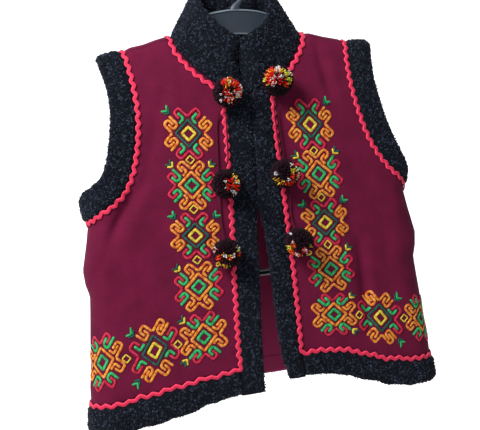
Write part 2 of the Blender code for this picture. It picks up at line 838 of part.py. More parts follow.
for r in range(COLLAR_ROWS + 1):
    below, above = max(r - 1, 0), min(r + 1, COLLAR_ROWS)
    thick = COLLAR_THICK
    if r == 0:
        thick = COLLAR_FOOT
    if r == COLLAR_ROWS:
        thick = COLLAR_CROWN
    for c in range(stations):
        before, after = max(c - 1, 0), min(c + 1, stations - 1)
        around = Vector(wall[r, after] - wall[r, before])
        upward = Vector(wall[above, c] - wall[below, c])
        normal = np.array(around.cross(upward).normalized())
        if float(np.dot(normal, from_collar_middle(wall[r, c]))) < 0:
            normal = -normal
        outer[r, c] = wall[r, c] + normal * thick / 2
        inner[r, c] = wall[r, c] - normal * thick / 2
    for c in (0, -1):
        roll = COLLAR_ROLL * math.sin(math.pi * r / COLLAR_ROWS)
        outer[r, c][1] += roll
        inner[r, c][1] += roll
points, faces = shell(outer, inner)
add_object("collar", points, faces, "boucle")

# ---------------------------------------------------------------- braid


def trace(runs):
    """Dense places and normals along lines of cloth points, each run on its own face."""
    places, normals = [], []
    for line, face in runs:
        fine = resample(line, TRACE_CELLS)
        for q, v in fine:
            places.append(surface(q, v, face))
            normals.append(outward(q, v, face))
    return places, normals


def braid(name, runs, closed, lift=RICK_LIFT):
    """Flat braid that swings from side to side of a line; returns its number of waves."""
    places, normals = (np.array(rows) for rows in trace(runs))
    steps = np.linalg.norm(np.diff(places, axis=0), axis=1)
    at = np.concatenate([[0.0], np.cumsum(steps)])
    total = at[-1]
    halves = 2 * max(2, round(total / RICK_WAVE))
    profile = [
        (-RICK_HALF, lift),
        (RICK_HALF, lift),
        (RICK_HALF, lift + RICK_THICK),
        (-RICK_HALF, lift + RICK_THICK),
    ]

    def pick(rows, s):
        s = s % total if closed else min(max(s, 0.0), total)
        return np.array([np.interp(s, at, rows[:, i]) for i in range(3)])

    sections = []
    for k in range(halves if closed else halves + 1):
        here = total * k / halves
        place = np.array([np.interp(here, at, places[:, i]) for i in range(3)])
        normal = Vector(pick(normals, here)).normalized()
        along = Vector(pick(places, here + RICK_LOOK) - pick(places, here - RICK_LOOK))
        across = np.array(normal.cross(along).normalized())
        normal = np.array(normal)
        swing = RICK_SWING * (1 if k % 2 else -1)
        section = []
        for w, height in profile:
            section.append(tuple(place + across * (swing + w) + normal * height))
        sections.append(section)
    sweep(name, sections, closed, "rickrack")
    return halves // 2


WAVES = 0
for side, word in ((-1, "left"), (1, "right")):
    front_run, _ = armhole_lines(side, FRONT)
    back_run, _ = armhole_lines(side, BACK)
    WAVES += braid("armhole_braid_" + word, [(front_run, FRONT), (back_run[::-1], BACK)], True)
    down_line = front_seam_line(side)[1:]
    down_line[0] = down_line[0] * 0.35 + front_seam_line(side)[0] * 0.65
    across_line = hem_seam_line(side)
    across_line[-1] = across_line[-1] - np.array([side * RICK_END, 0.0])
    WAVES += braid("front_braid_" + word, [(chain(down_line, across_line), FRONT)], False)

back_run = band_top.copy()
back_run[0] = back_run[0] + np.array([RICK_END, 0.0])
back_run[-1] = back_run[-1] - np.array([RICK_END, 0.0])
WAVES += braid("hem_braid_back", [(back_run, BACK)], False, BACK_RICK_LIFT)


def neck_braid_line(side, rows, face):
    """Braid line on the cloth beside the neck seam."""
    line = []
    for x, down in rows:
        out = x / NECK_HALF
        shift_x = NECK_OUT * (0.55 + 0.45 * out) * (1.0 if face == FRONT else out)
        shift_down = NECK_OUT * (1 - out**2) ** 0.5
        line.append(to_cloth(side * (x + shift_x), down + shift_down))
    return line


def neck_path():
    front_right = neck_braid_line(1, NECK_FRONT, FRONT)
    front_left = neck_braid_line(-1, NECK_FRONT, FRONT)
    back_right = neck_braid_line(1, NECK_BACK[1:], BACK)
    back_left = neck_braid_line(-1, NECK_BACK[1:], BACK)
    for line in (front_right, front_left, back_right, back_left):
        line[-1][1] = 0.0
    across_back = back_right[::-1] + back_left
    return [(front_right, FRONT), (across_back, BACK), (front_left[::-1], FRONT)]


WAVES += braid("collar_braid", neck_path(), False)
print("rickrack waves", WAVES)

# ---------------------------------------------------------------- pompoms


def octa_ball(name, centre):
    """Ball of yarn locks: a core with a tapered lock on each of 32 facets."""
    work = bmesh.new()
    tips = [(1, 0, 0), (-1, 0, 0), (0, 1, 0), (0, -1, 0), (0, 0, 1), (0, 0, -1)]
    verts = [work.verts.new(tip) for tip in tips]
    upper = ((0, 2, 4), (2, 1, 4), (1, 3, 4), (3, 0, 4))
    lower = ((2, 0, 5), (1, 2, 5), (3, 1, 5), (0, 3, 5))
    for facet in upper + lower:
        work.faces.new([verts[k] for k in facet])
    bmesh.ops.subdivide_edges(work, edges=work.edges, cuts=1, use_grid_fill=True)
    for vert in work.verts:
        vert.co = vert.co.normalized() * POMPOM_CORE
    made = bmesh.ops.inset_individual(
        work, faces=list(work.faces), thickness=LOCK_INSET, depth=0.0
    )
    rims = set(made["faces"])
    locks = [face for face in work.faces if face not in rims]
    made = bmesh.ops.extrude_discrete_faces(work, faces=locks)
    for face in made["faces"]:
        middle = face.calc_center_median()
        lift = POMPOM_R / middle.length
        for vert in face.verts:
            vert.co = middle * lift + (vert.co - middle) * LOCK_TAPER
            vert.co = vert.co * min(1.0, POMPOM_R / vert.co.length)
    bmesh.ops.recalc_face_normals(work, faces=work.faces)
    bmesh.ops.triangulate(work, faces=work.faces)
    mesh = bpy.data.meshes.new(name)
    for vert in work.verts:
        x, y, z = vert.co
        vert.co = to_frame((centre[0] + x, centre[1] + y, centre[2] - z))
    work.to_mesh(mesh)
    work.free()
    obj = bpy.data.objects.new(name, mesh)
    colour, roughness = LOOKS["pompom"]
    mesh.materials.append(material(name, colour, roughness))
    bpy.context.collection.objects.link(obj)
    return obj


CENTRES = {}
for name, x, y, down in POMPOMS:
    CENTRES[name] = Vector((x, y, down))
    octa_ball(name, (x, y, down))

# ---------------------------------------------------------------- cords
for name, upper_name, lower_name, upper_reach, guides in CORDS:
    line = []
    for x, clear, down in guides:
        q, v = to_cloth(x, down)
        place = surface(q, v, FRONT)
        line.append(Vector((place.x, place.y - clear, place.z)))
    above, below = CENTRES[upper_name], CENTRES[lower_name]
    start = above + (line[0] - above).normalized() * upper_reach
    finish = below + Vector(CORD_ENTRY).normalized() * CORD_LOW_REACH
    run = [start] + line + [finish]
    # Spline through the guide points.
    fine = []
    for k in range(len(run) - 1):
        p0 = run[max(k - 1, 0)]
        p1, p2 = run[k], run[k + 1]
        p3 = run[min(k + 2, len(run) - 1)]
        for step in range(CORD_STEPS):
            t = step / CORD_STEPS
            a = p1 * 2
            b = (p2 - p0) * t
            c = (p0 * 2 - p1 * 5 + p2 * 4 - p3) * t * t
            d = (p1 * 3 - p0 - p2 * 3 + p3) * t * t * t
            fine.append((a + b + c + d) * 0.5)
    fine.append(run[-1])
    length = sum((fine[k + 1] - fine[k]).length for k in range(len(fine) - 1))
    even = resample([tuple(p) for p in fine], max(8, round(length / CORD_CELL)))
    curve = bpy.data.curves.new(name, "CURVE")
    curve.dimensions = "3D"
    curve.bevel_depth = CORD_R * MM
    curve.bevel_resolution = 2
    curve.use_fill_caps = True
    spline = curve.splines.new("POLY")
    spline.points.add(len(even) - 1)
    for point, place in zip(spline.points, even):
        point.co = (*to_frame(place), 1.0)
    obj = bpy.data.objects.new(name, curve)
    colour, roughness = LOOKS["cord"]
    curve.materials.append(material(name, colour, roughness))
    bpy.context.collection.objects.link(obj)
    print(name, "length mm", round(length, 1), "points", len(even))

# ---------------------------------------------------------------- hanger


def beam_section(x, top_down, low_down, flange, web):
    """I-shaped section: a rim above and below a web."""
    upper, lower, thin = flange / 2, flange / 2 * HANGER_LOW_FLANGE, web / 2
    rim_low = top_down + HANGER_RIM
    rim_high = low_down - HANGER_RIM
    right = [
        (upper - HANGER_CHAMFER, top_down),
        (upper, rim_low),
        (thin, rim_low + HANGER_RIM_SLOPE),
        (thin, rim_high - HANGER_RIM_SLOPE),
        (lower, rim_high),
        (lower, low_down),
    ]
    left = [(-y, down) for y, down in reversed(right)]
    return [(x, y, down) for y, down in right + left]


def beam(name, rows, flange, web):
    return sweep(name, [beam_section(*row, flange, web) for row in rows], False, "hanger")


def strut(name, x):
    half, deep = HANGER_STRUT
    low = HANGER_BAR_TOP + HANGER_STRUT_LOW
    ring = [(x - half, -deep), (x + half, -deep), (x + half, deep), (x - half, deep)]
    sections = [[(a, b, down) for a, b in ring] for down in (HANGER_STRUT_TOP, low)]
    return sweep(name, sections, False, "hanger")


def arm_half(side):
    """Arm of the hanger from its middle to its tip, following the shoulder."""
    rows = [(side * x, top_down, low_down) for x, top_down, low_down in HANGER_ARM]
    for x in HANGER_OUTER:
        top_down = ridge(side * x) + HANGER_CLEAR
        start, run, thinning = HANGER_TAPER
        high = HANGER_ARM_HIGH - thinning * max(0.0, (x - start) / run)
        rows.append((side * x, top_down, top_down + high))
    tip_x, drop, high = HANGER_TIP
    tip = ridge(side * tip_x) + HANGER_CLEAR + drop
    rows.append((side * tip_x, tip, tip + high))
    return rows


arm_rows = arm_half(-1)[::-1] + arm_half(1)[1:]
arms = beam("hanger", arm_rows, HANGER_FLANGE, HANGER_ARM_WEB)
bar_rows = [(x, HANGER_BAR_TOP, HANGER_BAR_LOW) for x in (-HANGER_BAR_HALF, HANGER_BAR_HALF)]
bar = beam("bar", bar_rows, HANGER_BAR_FLANGE, HANGER_BAR_WEB)
strut_left = strut("strut_left", -HANGER_STRUT_X)
strut_right = strut("strut_right", HANGER_STRUT_X)

hook = bpy.data.curves.new("hook", "CURVE")
hook.dimensions = "3D"
hook.bevel_depth = HOOK_R * MM
hook.bevel_resolution = 2
hook.use_fill_caps = True
hook_points = list(HOOK_STEM)
ring = HOOK_INNER + HOOK_R
centre_down = -HOOK_RISE + HOOK_INNER
for degrees in HOOK_DEGREES:
    angle = math.radians(degrees)
    hook_points.append((ring * math.cos(angle), centre_down - ring * math.sin(angle)))
spline = hook.splines.new("POLY")
spline.points.add(len(hook_points) - 1)
for point, (x, down) in zip(spline.points, hook_points):
    point.co = (*to_frame((x, 0.0, down)), 1.0)
hook_object = bpy.data.objects.new("hook_curve", hook)
bpy.context.collection.objects.link(hook_object)
bpy.context.view_layer.update()
graph = bpy.context.evaluated_depsgraph_get()
hook_mesh = bpy.data.meshes.new_from_object(hook_object.evaluated_get(graph))
hook_solid = bpy.data.objects.new("hook_solid", hook_mesh)
bpy.context.collection.objects.link(hook_solid)
bpy.data.objects.remove(hook_object, do_unlink=True)

for helper in (bar, strut_left, strut_right, hook_solid):
    joint = arms.modifiers.new(helper.name, "BOOLEAN")
    joint.operation = "UNION"
    joint.solver = "EXACT"
    joint.object = helper
    helper.hide_render = True
    helper.display_type = "WIRE"
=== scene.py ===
"""Looks of the folk vest: cloth, curled boucle borders, rickrack, embroidery,
pompoms on cords and the hanger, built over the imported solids.

Lengths in the tables are millimetres. Across is X (positive to the viewer's
right), "down" is measured below the top of the collar's front, and the front
of the vest faces -Y. The frame's origin is the inner top of the hook. The
form's tables are those of the solids; some gaps, lifts and the braid's size differ.
"""

import json
import math

import bpy
import numpy as np
from mathutils import Matrix, Vector

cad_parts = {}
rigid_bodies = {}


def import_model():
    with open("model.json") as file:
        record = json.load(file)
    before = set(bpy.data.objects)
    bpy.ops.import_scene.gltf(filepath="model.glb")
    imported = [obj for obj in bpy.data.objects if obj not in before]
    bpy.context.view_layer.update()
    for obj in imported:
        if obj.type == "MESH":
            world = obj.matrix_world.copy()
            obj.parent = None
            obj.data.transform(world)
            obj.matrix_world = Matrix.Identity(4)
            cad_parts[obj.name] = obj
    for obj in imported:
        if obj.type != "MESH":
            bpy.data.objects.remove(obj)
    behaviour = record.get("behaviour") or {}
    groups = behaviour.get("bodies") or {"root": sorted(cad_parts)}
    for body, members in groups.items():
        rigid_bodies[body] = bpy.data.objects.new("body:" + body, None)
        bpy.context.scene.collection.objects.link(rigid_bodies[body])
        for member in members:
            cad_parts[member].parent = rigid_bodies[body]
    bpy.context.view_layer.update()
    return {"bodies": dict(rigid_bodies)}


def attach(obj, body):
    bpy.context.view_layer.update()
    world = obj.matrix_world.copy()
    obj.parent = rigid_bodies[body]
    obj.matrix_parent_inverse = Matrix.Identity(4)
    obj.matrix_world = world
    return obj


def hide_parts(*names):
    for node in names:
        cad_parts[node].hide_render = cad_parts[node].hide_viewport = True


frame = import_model()

MM = 0.001
FRONT = -1
BACK = 1
SIDES = ((-1, "left"), (1, "right"))

# ---------------------------------------------------------------- camera
CAMERA_PLACE = (-0.246888, -1.06798, -0.256783)
CAMERA_YAW = 0.213
CAMERA_PITCH = 0.082
CAMERA_ROLL = -0.095
CAMERA_LENS = 60.92

# ---------------------------------------------------------------- form
HOOK_RISE = 115.0
CLOTH = 2.4
SEAM = 0.4
SHOULDER_R = 13.0
SIDE_R = 32.0
SIDE_ARC = 56.0
SIDE_GAP = 0.05
CHEST_FULL = {FRONT: 42.0, BACK: 22.0}
CHEST_RUN = {FRONT: 70.0, BACK: 60.0}
CHEST_FLATTEN = 0.35

# Shoulder ridge: x, down.
RIDGE = [
    (-189, 15.5),
    (-180, 11.2),
    (-165, 8),
    (-150, 3.8),
    (-140, -0.6),
    (-124, -3),
    (-107, -8),
    (-94, -11),
    (-84, -8.2),
    (84, -3.6),
    (102, -3.8),
    (120, 1.6),
    (142, 6.6),
    (151, 11),
    (158, 13.2),
    (170, 13.4),
    (182, 14.6),
    (189, 17.5),
]

# Half-breadth of the body: down, across.
BODY = [
    (0, 225),
    (188, 222.5),
    (218, 218),
    (241, 222.5),
    (277, 231),
    (296, 229.5),
    (311, 225.5),
    (333, 227.5),
    (372, 231.6),
    (399, 233.5),
    (430, 238),
    (470, 240),
    (495, 243),
]

# Front opening edges: down, x of the viewer's left front, x of the right front.
OPENING = [
    (60, 2.5, 3.1),
    (100, 1.7, 2.3),
    (135, -0.3, 0.3),
    (175, -1.5, -0.9),
    (215, -3.7, -3.1),
    (250, -7.0, 2.8),
    (290, -8.4, 4.8),
    (333, -11.2, 5.6),
    (378, -14.2, 7.6),
    (419, -15.2, 10.9),
    (460, -16.4, 19.5),
]

# Seam between front border and cloth: down, across left, across right.
FRONT_SEAM = [
    (56, 35, 33),
    (97, 34, 31),
    (139, 35, 30.5),
    (218, 38, 33),
    (304, 43, 36),
    (403, 46.5, 37),
    (424, 47, 38.5),
    (462, 48, 40),
]

# Seam between hem border and cloth: across, down left, down right.
HEM_SEAM = [
    (38, 424, 417),
    (66, 429, 417),
    (96, 433, 422),
    (125, 438, 432),
    (155, 443.5, 444),
    (186, 448, 450),
    (212, 453, 453),
    (252, 456, 456),
]

# Lower edge of the hem border: across, down left, down right, down at the back.
HEM = [
    (0, 460, 448.5, 462),
    (21, 460, 448.5, 462),
    (57, 461, 449, 462),
    (86, 467.5, 454.5, 465),
    (108, 474, 463.5, 470),
    (131, 479, 471, 476),
    (155, 484.5, 481, 482),
    (185, 488.5, 488, 488),
    (260, 492.5, 492.5, 492.5),
]

# Armholes: seam across, seam down, edge across, edge down; shoulder to underarm.
ARMHOLE = {
    -1: [
        (152, 5, 185.9, 14.2),
        (147.5, 24, 183.3, 27.8),
        (144.3, 48, 178.3, 50),
        (142.6, 76, 176.8, 74),
        (143.3, 102, 179.3, 97.1),
        (147.5, 126, 183.3, 119.2),
        (153, 150, 187.8, 138.4),
        (161, 172, 193, 154.5),
        (173, 189, 201.1, 165.7),
        (190, 201, 211.2, 172.9),
        (206, 214, 220.1, 179.1),
    ],
    1: [
        (150, 9, 185.9, 18.2),
        (144.5, 26, 182.8, 33.7),
        (143, 48, 180.3, 53.8),
        (143.8, 76, 181.8, 76),
        (148.5, 102, 185.8, 99.1),
        (155, 130, 191.4, 122.2),
        (164, 153, 197.4, 140.4),
        (176, 175, 204.9, 157.6),
        (189, 190, 211.6, 169.8),
        (202, 201, 217.3, 179),
        (212, 212, 221.1, 185.2),
    ],
}
UNDERARM_SEAM = 221.0
UNDERARM_EDGE = 189.2
BACK_ARMHOLE_INSET = 7.0

# Neck seam: across, down; from the border or the middle of the back to the shoulder.
NECK_FRONT = [(34.5, 59.5), (42.5, 54), (53, 45.5), (65, 33.5), (76, 18.5), (82.5, 6), (86, -5)]
NECK_BACK = [(0, 8.5), (30, 8), (50, 7), (66, 4.5), (78, 0), (86, -5)]
NECK_HALF = NECK_FRONT[-1][0]
NECK_CENTRE = (2.8, 74.0)
NECK_EASE = 1.4

# Top edge of the collar: x, y, down; from the front opening to the back.
COLLAR_TOP = [
    (0, -43, 1.1, 1.1),
    (14, -43.5, -6, -4.5),
    (27, -41, -17, -12.5),
    (39, -34, -32, -27.5),
    (47, -22, -50, -48),
    (48, -8, -65, -65),
    (44, 5, -73, -73),
    (36, 17, -78, -78),
    (21, 26, -81, -81),
    (0, 29, -82, -82),
]
COLLAR_V = -2.5
COLLAR_V_RUN = 30.0
COLLAR_SWAY = -7.0
COLLAR_SWAY_RUN = 30.0
COLLAR_ROLL = 10.0
COLLAR_BULGE = 1.0
COLLAR_LIFT = 0.9

# Soft creases: face, x0, down0, x1, down1, depth, half-width. These are the solids' own.
CREASES = [
    (FRONT, 105, 10, 114, 92, 2.4, 13),
    (FRONT, -160, 184, -200, 256, 3.0, 12),
    (FRONT, -207, 246, -224, 270, -2.2, 11),
    (FRONT, -196, 272, -186, 330, 2.4, 15),
    (FRONT, -150, 150, -112, 128, 1.8, 22),
    (FRONT, 136, 284, 137, 404, 4.0, 12),
    (FRONT, 116, 226, 134, 300, 1.8, 14),
    (FRONT, 186, 235, 192, 380, -2.4, 18),
    (BACK, -130, 60, -60, 130, 2.2, 18),
    (BACK, 120, 70, 70, 120, 2.0, 18),
    (BACK, -165, 250, -150, 400, 2.4, 18),
    (BACK, 170, 240, 140, 380, 2.4, 18),
    (BACK, 20, 280, 10, 420, -2.0, 22),
]
# The smaller creases, which only the cloth here has.
FINE_CREASES = [
    (FRONT, -104, 52, -142, 166, 1.7, 9),
    (FRONT, -138, 166, -190, 234, 2.0, 7),
    (FRONT, 105, 3, 106, 40, 1.5, 5),
    (FRONT, 106, 34, 114, 84, 2.4, 6),
    (FRONT, 117, 22, 130, 104, -1.3, 8),
    (FRONT, -163, 186, -199, 252, 2.8, 6),
    (FRONT, -142, 190, -168, 232, -1.0, 9),
    (FRONT, -222, 268, -207, 246, -1.2, 6),
    (FRONT, -218, 282, -198, 262, 1.6, 6),
    (FRONT, -160, 262, -176, 300, 0.8, 9),
    (FRONT, -120, 215, -150, 260, 0.8, 10),
    (FRONT, -205, 330, -214, 372, 0.9, 9),
    (FRONT, -60, 75, -66, 128, 0.5, 8),
    (FRONT, 134, 286, 136, 404, 3.2, 6),
    (FRONT, 146, 280, 149, 396, -1.9, 8),
    (FRONT, 117, 223, 131, 292, 1.2, 7),
    (FRONT, 128, 150, 148, 226, 1.0, 10),
    (FRONT, 170, 262, 176, 344, 1.2, 9),
    (FRONT, 204, 250, 206, 330, 1.0, 9),
    (FRONT, 118, 360, 112, 408, 0.7, 9),
    (FRONT, 60, 76, 56, 130, 0.5, 8),
    (FRONT, -110, 398, -128, 428, 0.6, 8),
    (BACK, -150, 190, -120, 240, 1.0, 9),
    (BACK, 152, 186, 118, 236, 1.1, 9),
    (BACK, -96, 96, -58, 150, 0.9, 10),
    (BACK, 70, 170, 44, 250, 0.8, 11),
    (BACK, -40, 300, -52, 410, 1.0, 12),
    (BACK, 92, 320, 100, 420, 0.9, 12),
    (BACK, 196, 260, 200, 360, 1.0, 10),
    (BACK, -202, 300, -208, 390, 0.9, 10),
]

HEM_SIDE = 252  # the hem's height at the side seams is read this far across
CREASE_START = 8.0  # creases fade out over this height below the shoulder ridge

# Rickrack braid. A length of wave for each braid; that of a front changes at its hem corner.
RICK_WAVES = {
    "armhole": 12.1,
    "neck": 13.0,
    "front": 12.2,
    "hem_left": 15.5,
    "hem_right": 13.0,
    "hem_back": 13.0,
}
RICK_SWING = 1.55
RICK_HALF = 2.6
RICK_THICK = 1.3
RICK_LIFT = 1.2
RICK_STEP = 1.1
NECK_OUT = 5.2

# Pompoms: name, x, y, down.
POMPOM_R = 18.0
POMPOMS = [
    ("pompom_neck_left", -30.0, -62.7, 71.2),
    ("pompom_neck_right", 37.0, -59.7, 61.2),
    ("pompom_mid_left", -44.7, -72.2, 185.0),
    ("pompom_mid_right", 31.9, -72.6, 179.6),
    ("pompom_low_left", -52.8, -72.4, 272.0),
    ("pompom_low_right", 41.9, -74.2, 269.0),
]

# Cords: name, upper pompom, lower pompom, distance of the upper end from its
# pompom's centre, then x, clearance before the cloth's face, down of each guide.
CORD_R = 1.0
CORD_LOW_REACH = 16.7
CORDS = [
    (
        "cord_mid_left", "pompom_neck_left", "pompom_mid_left", 18.2,
        [(-33.2, 8.5, 100), (-35.3, 8.0, 130), (-37.5, 8.0, 155)],
    ),
    (
        "cord_low_left", "pompom_neck_left", "pompom_low_left", 17.8,
        [(-44, 2.7, 104), (-48.6, 2.5, 150), (-51.9, 2.5, 205), (-52.5, 3.0, 240)],
    ),
    (
        "cord_mid_right", "pompom_neck_right", "pompom_mid_right", 18.4,
        [(31.0, 8.0, 96), (30.4, 8.0, 120), (31.0, 8.5, 148)],
    ),
    (
        "cord_low_right", "pompom_neck_right", "pompom_low_right", 17.6,
        [(36, 5.0, 98), (36.5, 4.2, 130), (38.5, 2.6, 165), (40.5, 2.4, 205), (40.2, 3.0, 240)],
    ),
]

# Hanger: across, top of the arm, lower side of the arm.
HANGER_ARM = [
    (0, -42, -8),
    (16, -40.8, -7),
    (32, -38.5, -5),
    (48, -33.5, -1),
    (60, -25, 4),
    (70, -15, 8),
    (77, -3.5, 10),
]
HANGER_OUTER = (86, 102, 118, 134, 150, 165, 176)
HANGER_CLEAR = 4.1
HANGER_ARM_HIGH = 15.0
HANGER_FLANGE = 9.4
HANGER_ARM_WEB = 6.4
HANGER_BAR_FLANGE = 7.0
HANGER_BAR_WEB = 3.0
HANGER_RIM = 2.6
HANGER_STRUT_X = 46.0
HANGER_BAR_TOP = 308.0
HANGER_BAR_LOW = 317.0
HANGER_BAR_HALF = 150.0
HOOK_R = 3.6
HOOK_INNER = 22.4
HOOK_STEM = [(4, -39), (6, -45), (12, -52), (16.5, -60), (21, -70)]

# ---------------------------------------------------------------- form, worked out


def table(rows, column, key, key_column=0):
    rows = np.array(rows, float)
    return np.interp(key, rows[:, key_column], rows[:, column])


def ridge(x):
    return table(RIDGE, 1, x)


def half_breadth(down):
    return table(BODY, 1, down)


def crease_depth(face, x, down):
    """Sum of the soft troughs and ridges at these places."""
    total = np.zeros(np.shape(x))
    for row_face, x0, down0, x1, down1, depth, width in CREASES + FINE_CREASES:
        if row_face != face:
            continue
        run = (x1 - x0) ** 2 + (down1 - down0) ** 2
        along = ((x - x0) * (x1 - x0) + (down - down0) * (down1 - down0)) / run
        along = np.clip(along, 0.0, 1.0)
        far = np.hypot(x - x0 - along * (x1 - x0), down - down0 - along * (down1 - down0))
        total -= depth * np.sin(np.pi * (0.15 + 0.7 * along)) * np.exp(-((far / width) ** 2))
    return total


def drop_of(v):
    """Height fallen and depth gained, v millimetres of cloth below the shoulder ridge."""
    quarter = SHOULDER_R * math.pi / 2
    angle = np.clip(v, 0.0, quarter) / SHOULDER_R
    beyond = np.maximum(v - quarter, 0.0)
    return SHOULDER_R * (1 - np.cos(angle)) + beyond, SHOULDER_R * np.sin(angle)


def surface(q, v, face):
    """Outer face of the cloth: q across and v down are lengths of cloth."""
    q = np.asarray(q, float)
    v = np.asarray(v, float)
    fall, round_depth = drop_of(v)
    straight = half_breadth(ridge(np.clip(q, -180.0, 180.0)) + fall) - SIDE_R
    across = np.abs(q)
    angle = np.clip((across - straight) / SIDE_ARC, 0.0, 1.0) * math.pi / 2
    across = np.minimum(across, straight) + SIDE_R * np.sin(angle)
    x = np.copysign(across, q)
    down = ridge(x) + fall
    full = CHEST_FULL[face] * (1 - np.exp(-fall / CHEST_RUN[face]))
    full = full * (1 - CHEST_FLATTEN * (across / 200.0) ** 2)
    creased = crease_depth(face, x, down) * np.clip(fall / CREASE_START, 0.0, 1.0)
    depth = (round_depth + full + creased) * np.cos(angle)
    return np.stack([x, face * depth, down], -1)


def unit(vectors):
    return vectors / np.maximum(np.linalg.norm(vectors, axis=-1, keepdims=True), 1e-9)


def outward(q, v, face):
    """Unit normal of the cloth's outer face."""
    step = 0.4
    side = np.copysign(1.0, q)
    across = (surface(q, v, face) - surface(q - side * step, v, face)) * side[..., None]
    down = surface(q, v + step, face) - surface(q, np.maximum(v - step, 0.0), face)
    # The tables measure down, so the handedness is that of a mirrored frame.
    return unit(np.cross(across, down) * -face)


def lifted(line, face, height):
    """Places that lie height above the cloth along a line of cloth points."""
    line = np.asarray(line, float)
    q, v = line[..., 0], line[..., 1]
    return surface(q, v, face) + outward(q, v, face) * np.asarray(height)[..., None]


def to_cloth(x, down):
    """Lengths of cloth (q, v) of the point seen at x, down."""
    across = abs(x)
    fall = down - float(ridge(x))
    straight = float(half_breadth(ridge(min(max(x, -180.0), 180.0)) + fall)) - SIDE_R
    if across > straight:
        angle = math.asin(min((across - straight) / SIDE_R, 1.0))
        across = straight + SIDE_ARC * angle / (math.pi / 2)
    if fall < SHOULDER_R:
        v = SHOULDER_R * math.acos(1 - max(fall, 0.0) / SHOULDER_R)
    else:
        v = SHOULDER_R * math.pi / 2 + fall - SHOULDER_R
    return np.array([math.copysign(across, x), v])


def side_point(side, down):
    """End of a line of cloth at the side seam, a small gap short of it."""
    fall = down - float(ridge(side * 187.0))
    q = float(half_breadth(ridge(side * 180.0) + fall)) - SIDE_R + SIDE_ARC
    v = SHOULDER_R * math.pi / 2 + fall - SHOULDER_R
    return np.array([side * (q - SIDE_GAP), v])


def run_along(points):
    """Length along a line up to each of its points."""
    steps = np.linalg.norm(np.diff(points, axis=0), axis=1)
    return np.concatenate([[0.0], np.cumsum(steps)])


def directions(line, closed=False, reach=1):
    """Unit direction of a line at each of its points."""
    if closed:
        return unit(np.roll(line, -reach, axis=0) - np.roll(line, reach, axis=0))
    return unit(np.gradient(line, axis=0))


def in_frame(points):
    """Table points as places in the frame, in metres."""
    return np.stack([points[:, 0], points[:, 1], -(points[:, 2] + HOOK_RISE)], 1) * MM


def resample(points, cells, early=()):
    """Points at equal lengths along a line, after those asked for early on it."""
    points = np.array(points, float)
    at = run_along(points)
    start = early[-1] if early else 0.0
    rest = np.linspace(start, at[-1], cells + 1 - len(early))
    wanted = np.concatenate([[0.0], early[:-1], rest]) if early else rest
    return np.stack([np.interp(wanted, at, points[:, k]) for k in range(points.shape[1])], axis=1)


def chain(*lines):
    """Joins lines that share their end points."""
    joined = [lines[0]]
    for line in lines[1:]:
        joined.append(line[1:])
    return np.concatenate(joined)


def smooth(points, fine):
    """Each step of a line cut into fine ones along a spline through its points."""
    points = np.asarray(points, float)
    last = len(points) - 1
    t = np.arange(fine)[:, None] / fine
    parts = []
    for k in range(last):
        p0 = points[k - 1] if k else points[0] * 2 - points[1]
        p1, p2 = points[k], points[k + 1]
        p3 = points[k + 2] if k + 2 <= last else points[-1] * 2 - points[-2]
        bend = (p0 * 2 - p1 * 5 + p2 * 4 - p3) * t**2 + (p1 * 3 - p0 - p2 * 3 + p3) * t**3
        parts.append((p1 * 2 + (p2 - p0) * t + bend) * 0.5)
    parts.append(points[-1:])
    return np.concatenate(parts)


def coons(top, bottom, inner, outer):
    """Grid of cloth points that meets four border lines."""
    b = np.linspace(0.0, 1.0, len(inner))[:, None, None]
    a = np.linspace(0.0, 1.0, len(top))[None, :, None]
    ruled = (1 - b) * top[None] + b * bottom[None] + (1 - a) * inner[:, None] + a * outer[:, None]
    corners = (1 - a) * (1 - b) * top[0] + a * (1 - b) * top[-1]
    corners = corners + (1 - a) * b * bottom[0] + a * b * bottom[-1]
    return ruled - corners


# ---------------------------------------------------------------- borders' lines
ARM_CELLS = 12
SIDE_CELLS = 7
OVER_SHOULDER = (8.0, 18.0)
ROWS = ARM_CELLS + SIDE_CELLS
NECK_CELLS = 7
SHOULDER_CELLS = 4
COLUMNS = NECK_CELLS + SHOULDER_CELLS
BACK_NECK_CELLS = 6
BACK_COLUMNS = 2 * (BACK_NECK_CELLS + SHOULDER_CELLS)
BACK_STATIONS = (30, 57, 86, 108, 131, 155, 185, 212)
NEAR_MIDDLE = 0.001  # stands for the middle, so that a point keeps its side
OVER_NECK = (8.0,)  # the neck lines have a point this far from the shoulder
RIDGE_GAP = 0.15  # front and back start this far down from the shoulder ridge
HEM_CELLS = 2
HEM_BAND = 35.0
FINE = 6


def side_line(points, side):
    return [to_cloth(side * x, down) for x, down in points]


def side_seam(side, top_down, low_down):
    levels = np.linspace(top_down, low_down, SIDE_CELLS * FINE + 1)
    return np.array([side_point(side, level) for level in levels])


def armhole_lines(side, face):
    """Seam and edge of one armhole, shoulder to underarm, with matching stations."""
    rows = ARMHOLE[side]
    seam, edge = [], []
    for k, (seam_x, seam_down, edge_x, edge_down) in enumerate(rows):
        inset = BACK_ARMHOLE_INSET * math.sin(math.pi * k / len(rows)) if face == BACK else 0.0
        seam.append(to_cloth(side * (seam_x - inset), seam_down))
        edge.append(to_cloth(side * (edge_x - inset), edge_down))
    seam.append(side_point(side, UNDERARM_SEAM))
    edge.append(side_point(side, UNDERARM_EDGE))
    seam_line = resample(seam, ARM_CELLS, OVER_SHOULDER)
    edge_line = resample(edge, ARM_CELLS, OVER_SHOULDER)
    # At the shoulder both lines start on the ridge itself.
    seam_line[0][1] = 0.0
    edge_line[0][1] = 0.0
    return seam_line, edge_line


def opening_x(side, down):
    return float(table(OPENING, 1 if side < 0 else 2, down))


def front_seam_x(side, down):
    return side * float(table(FRONT_SEAM, 1 if side < 0 else 2, down))


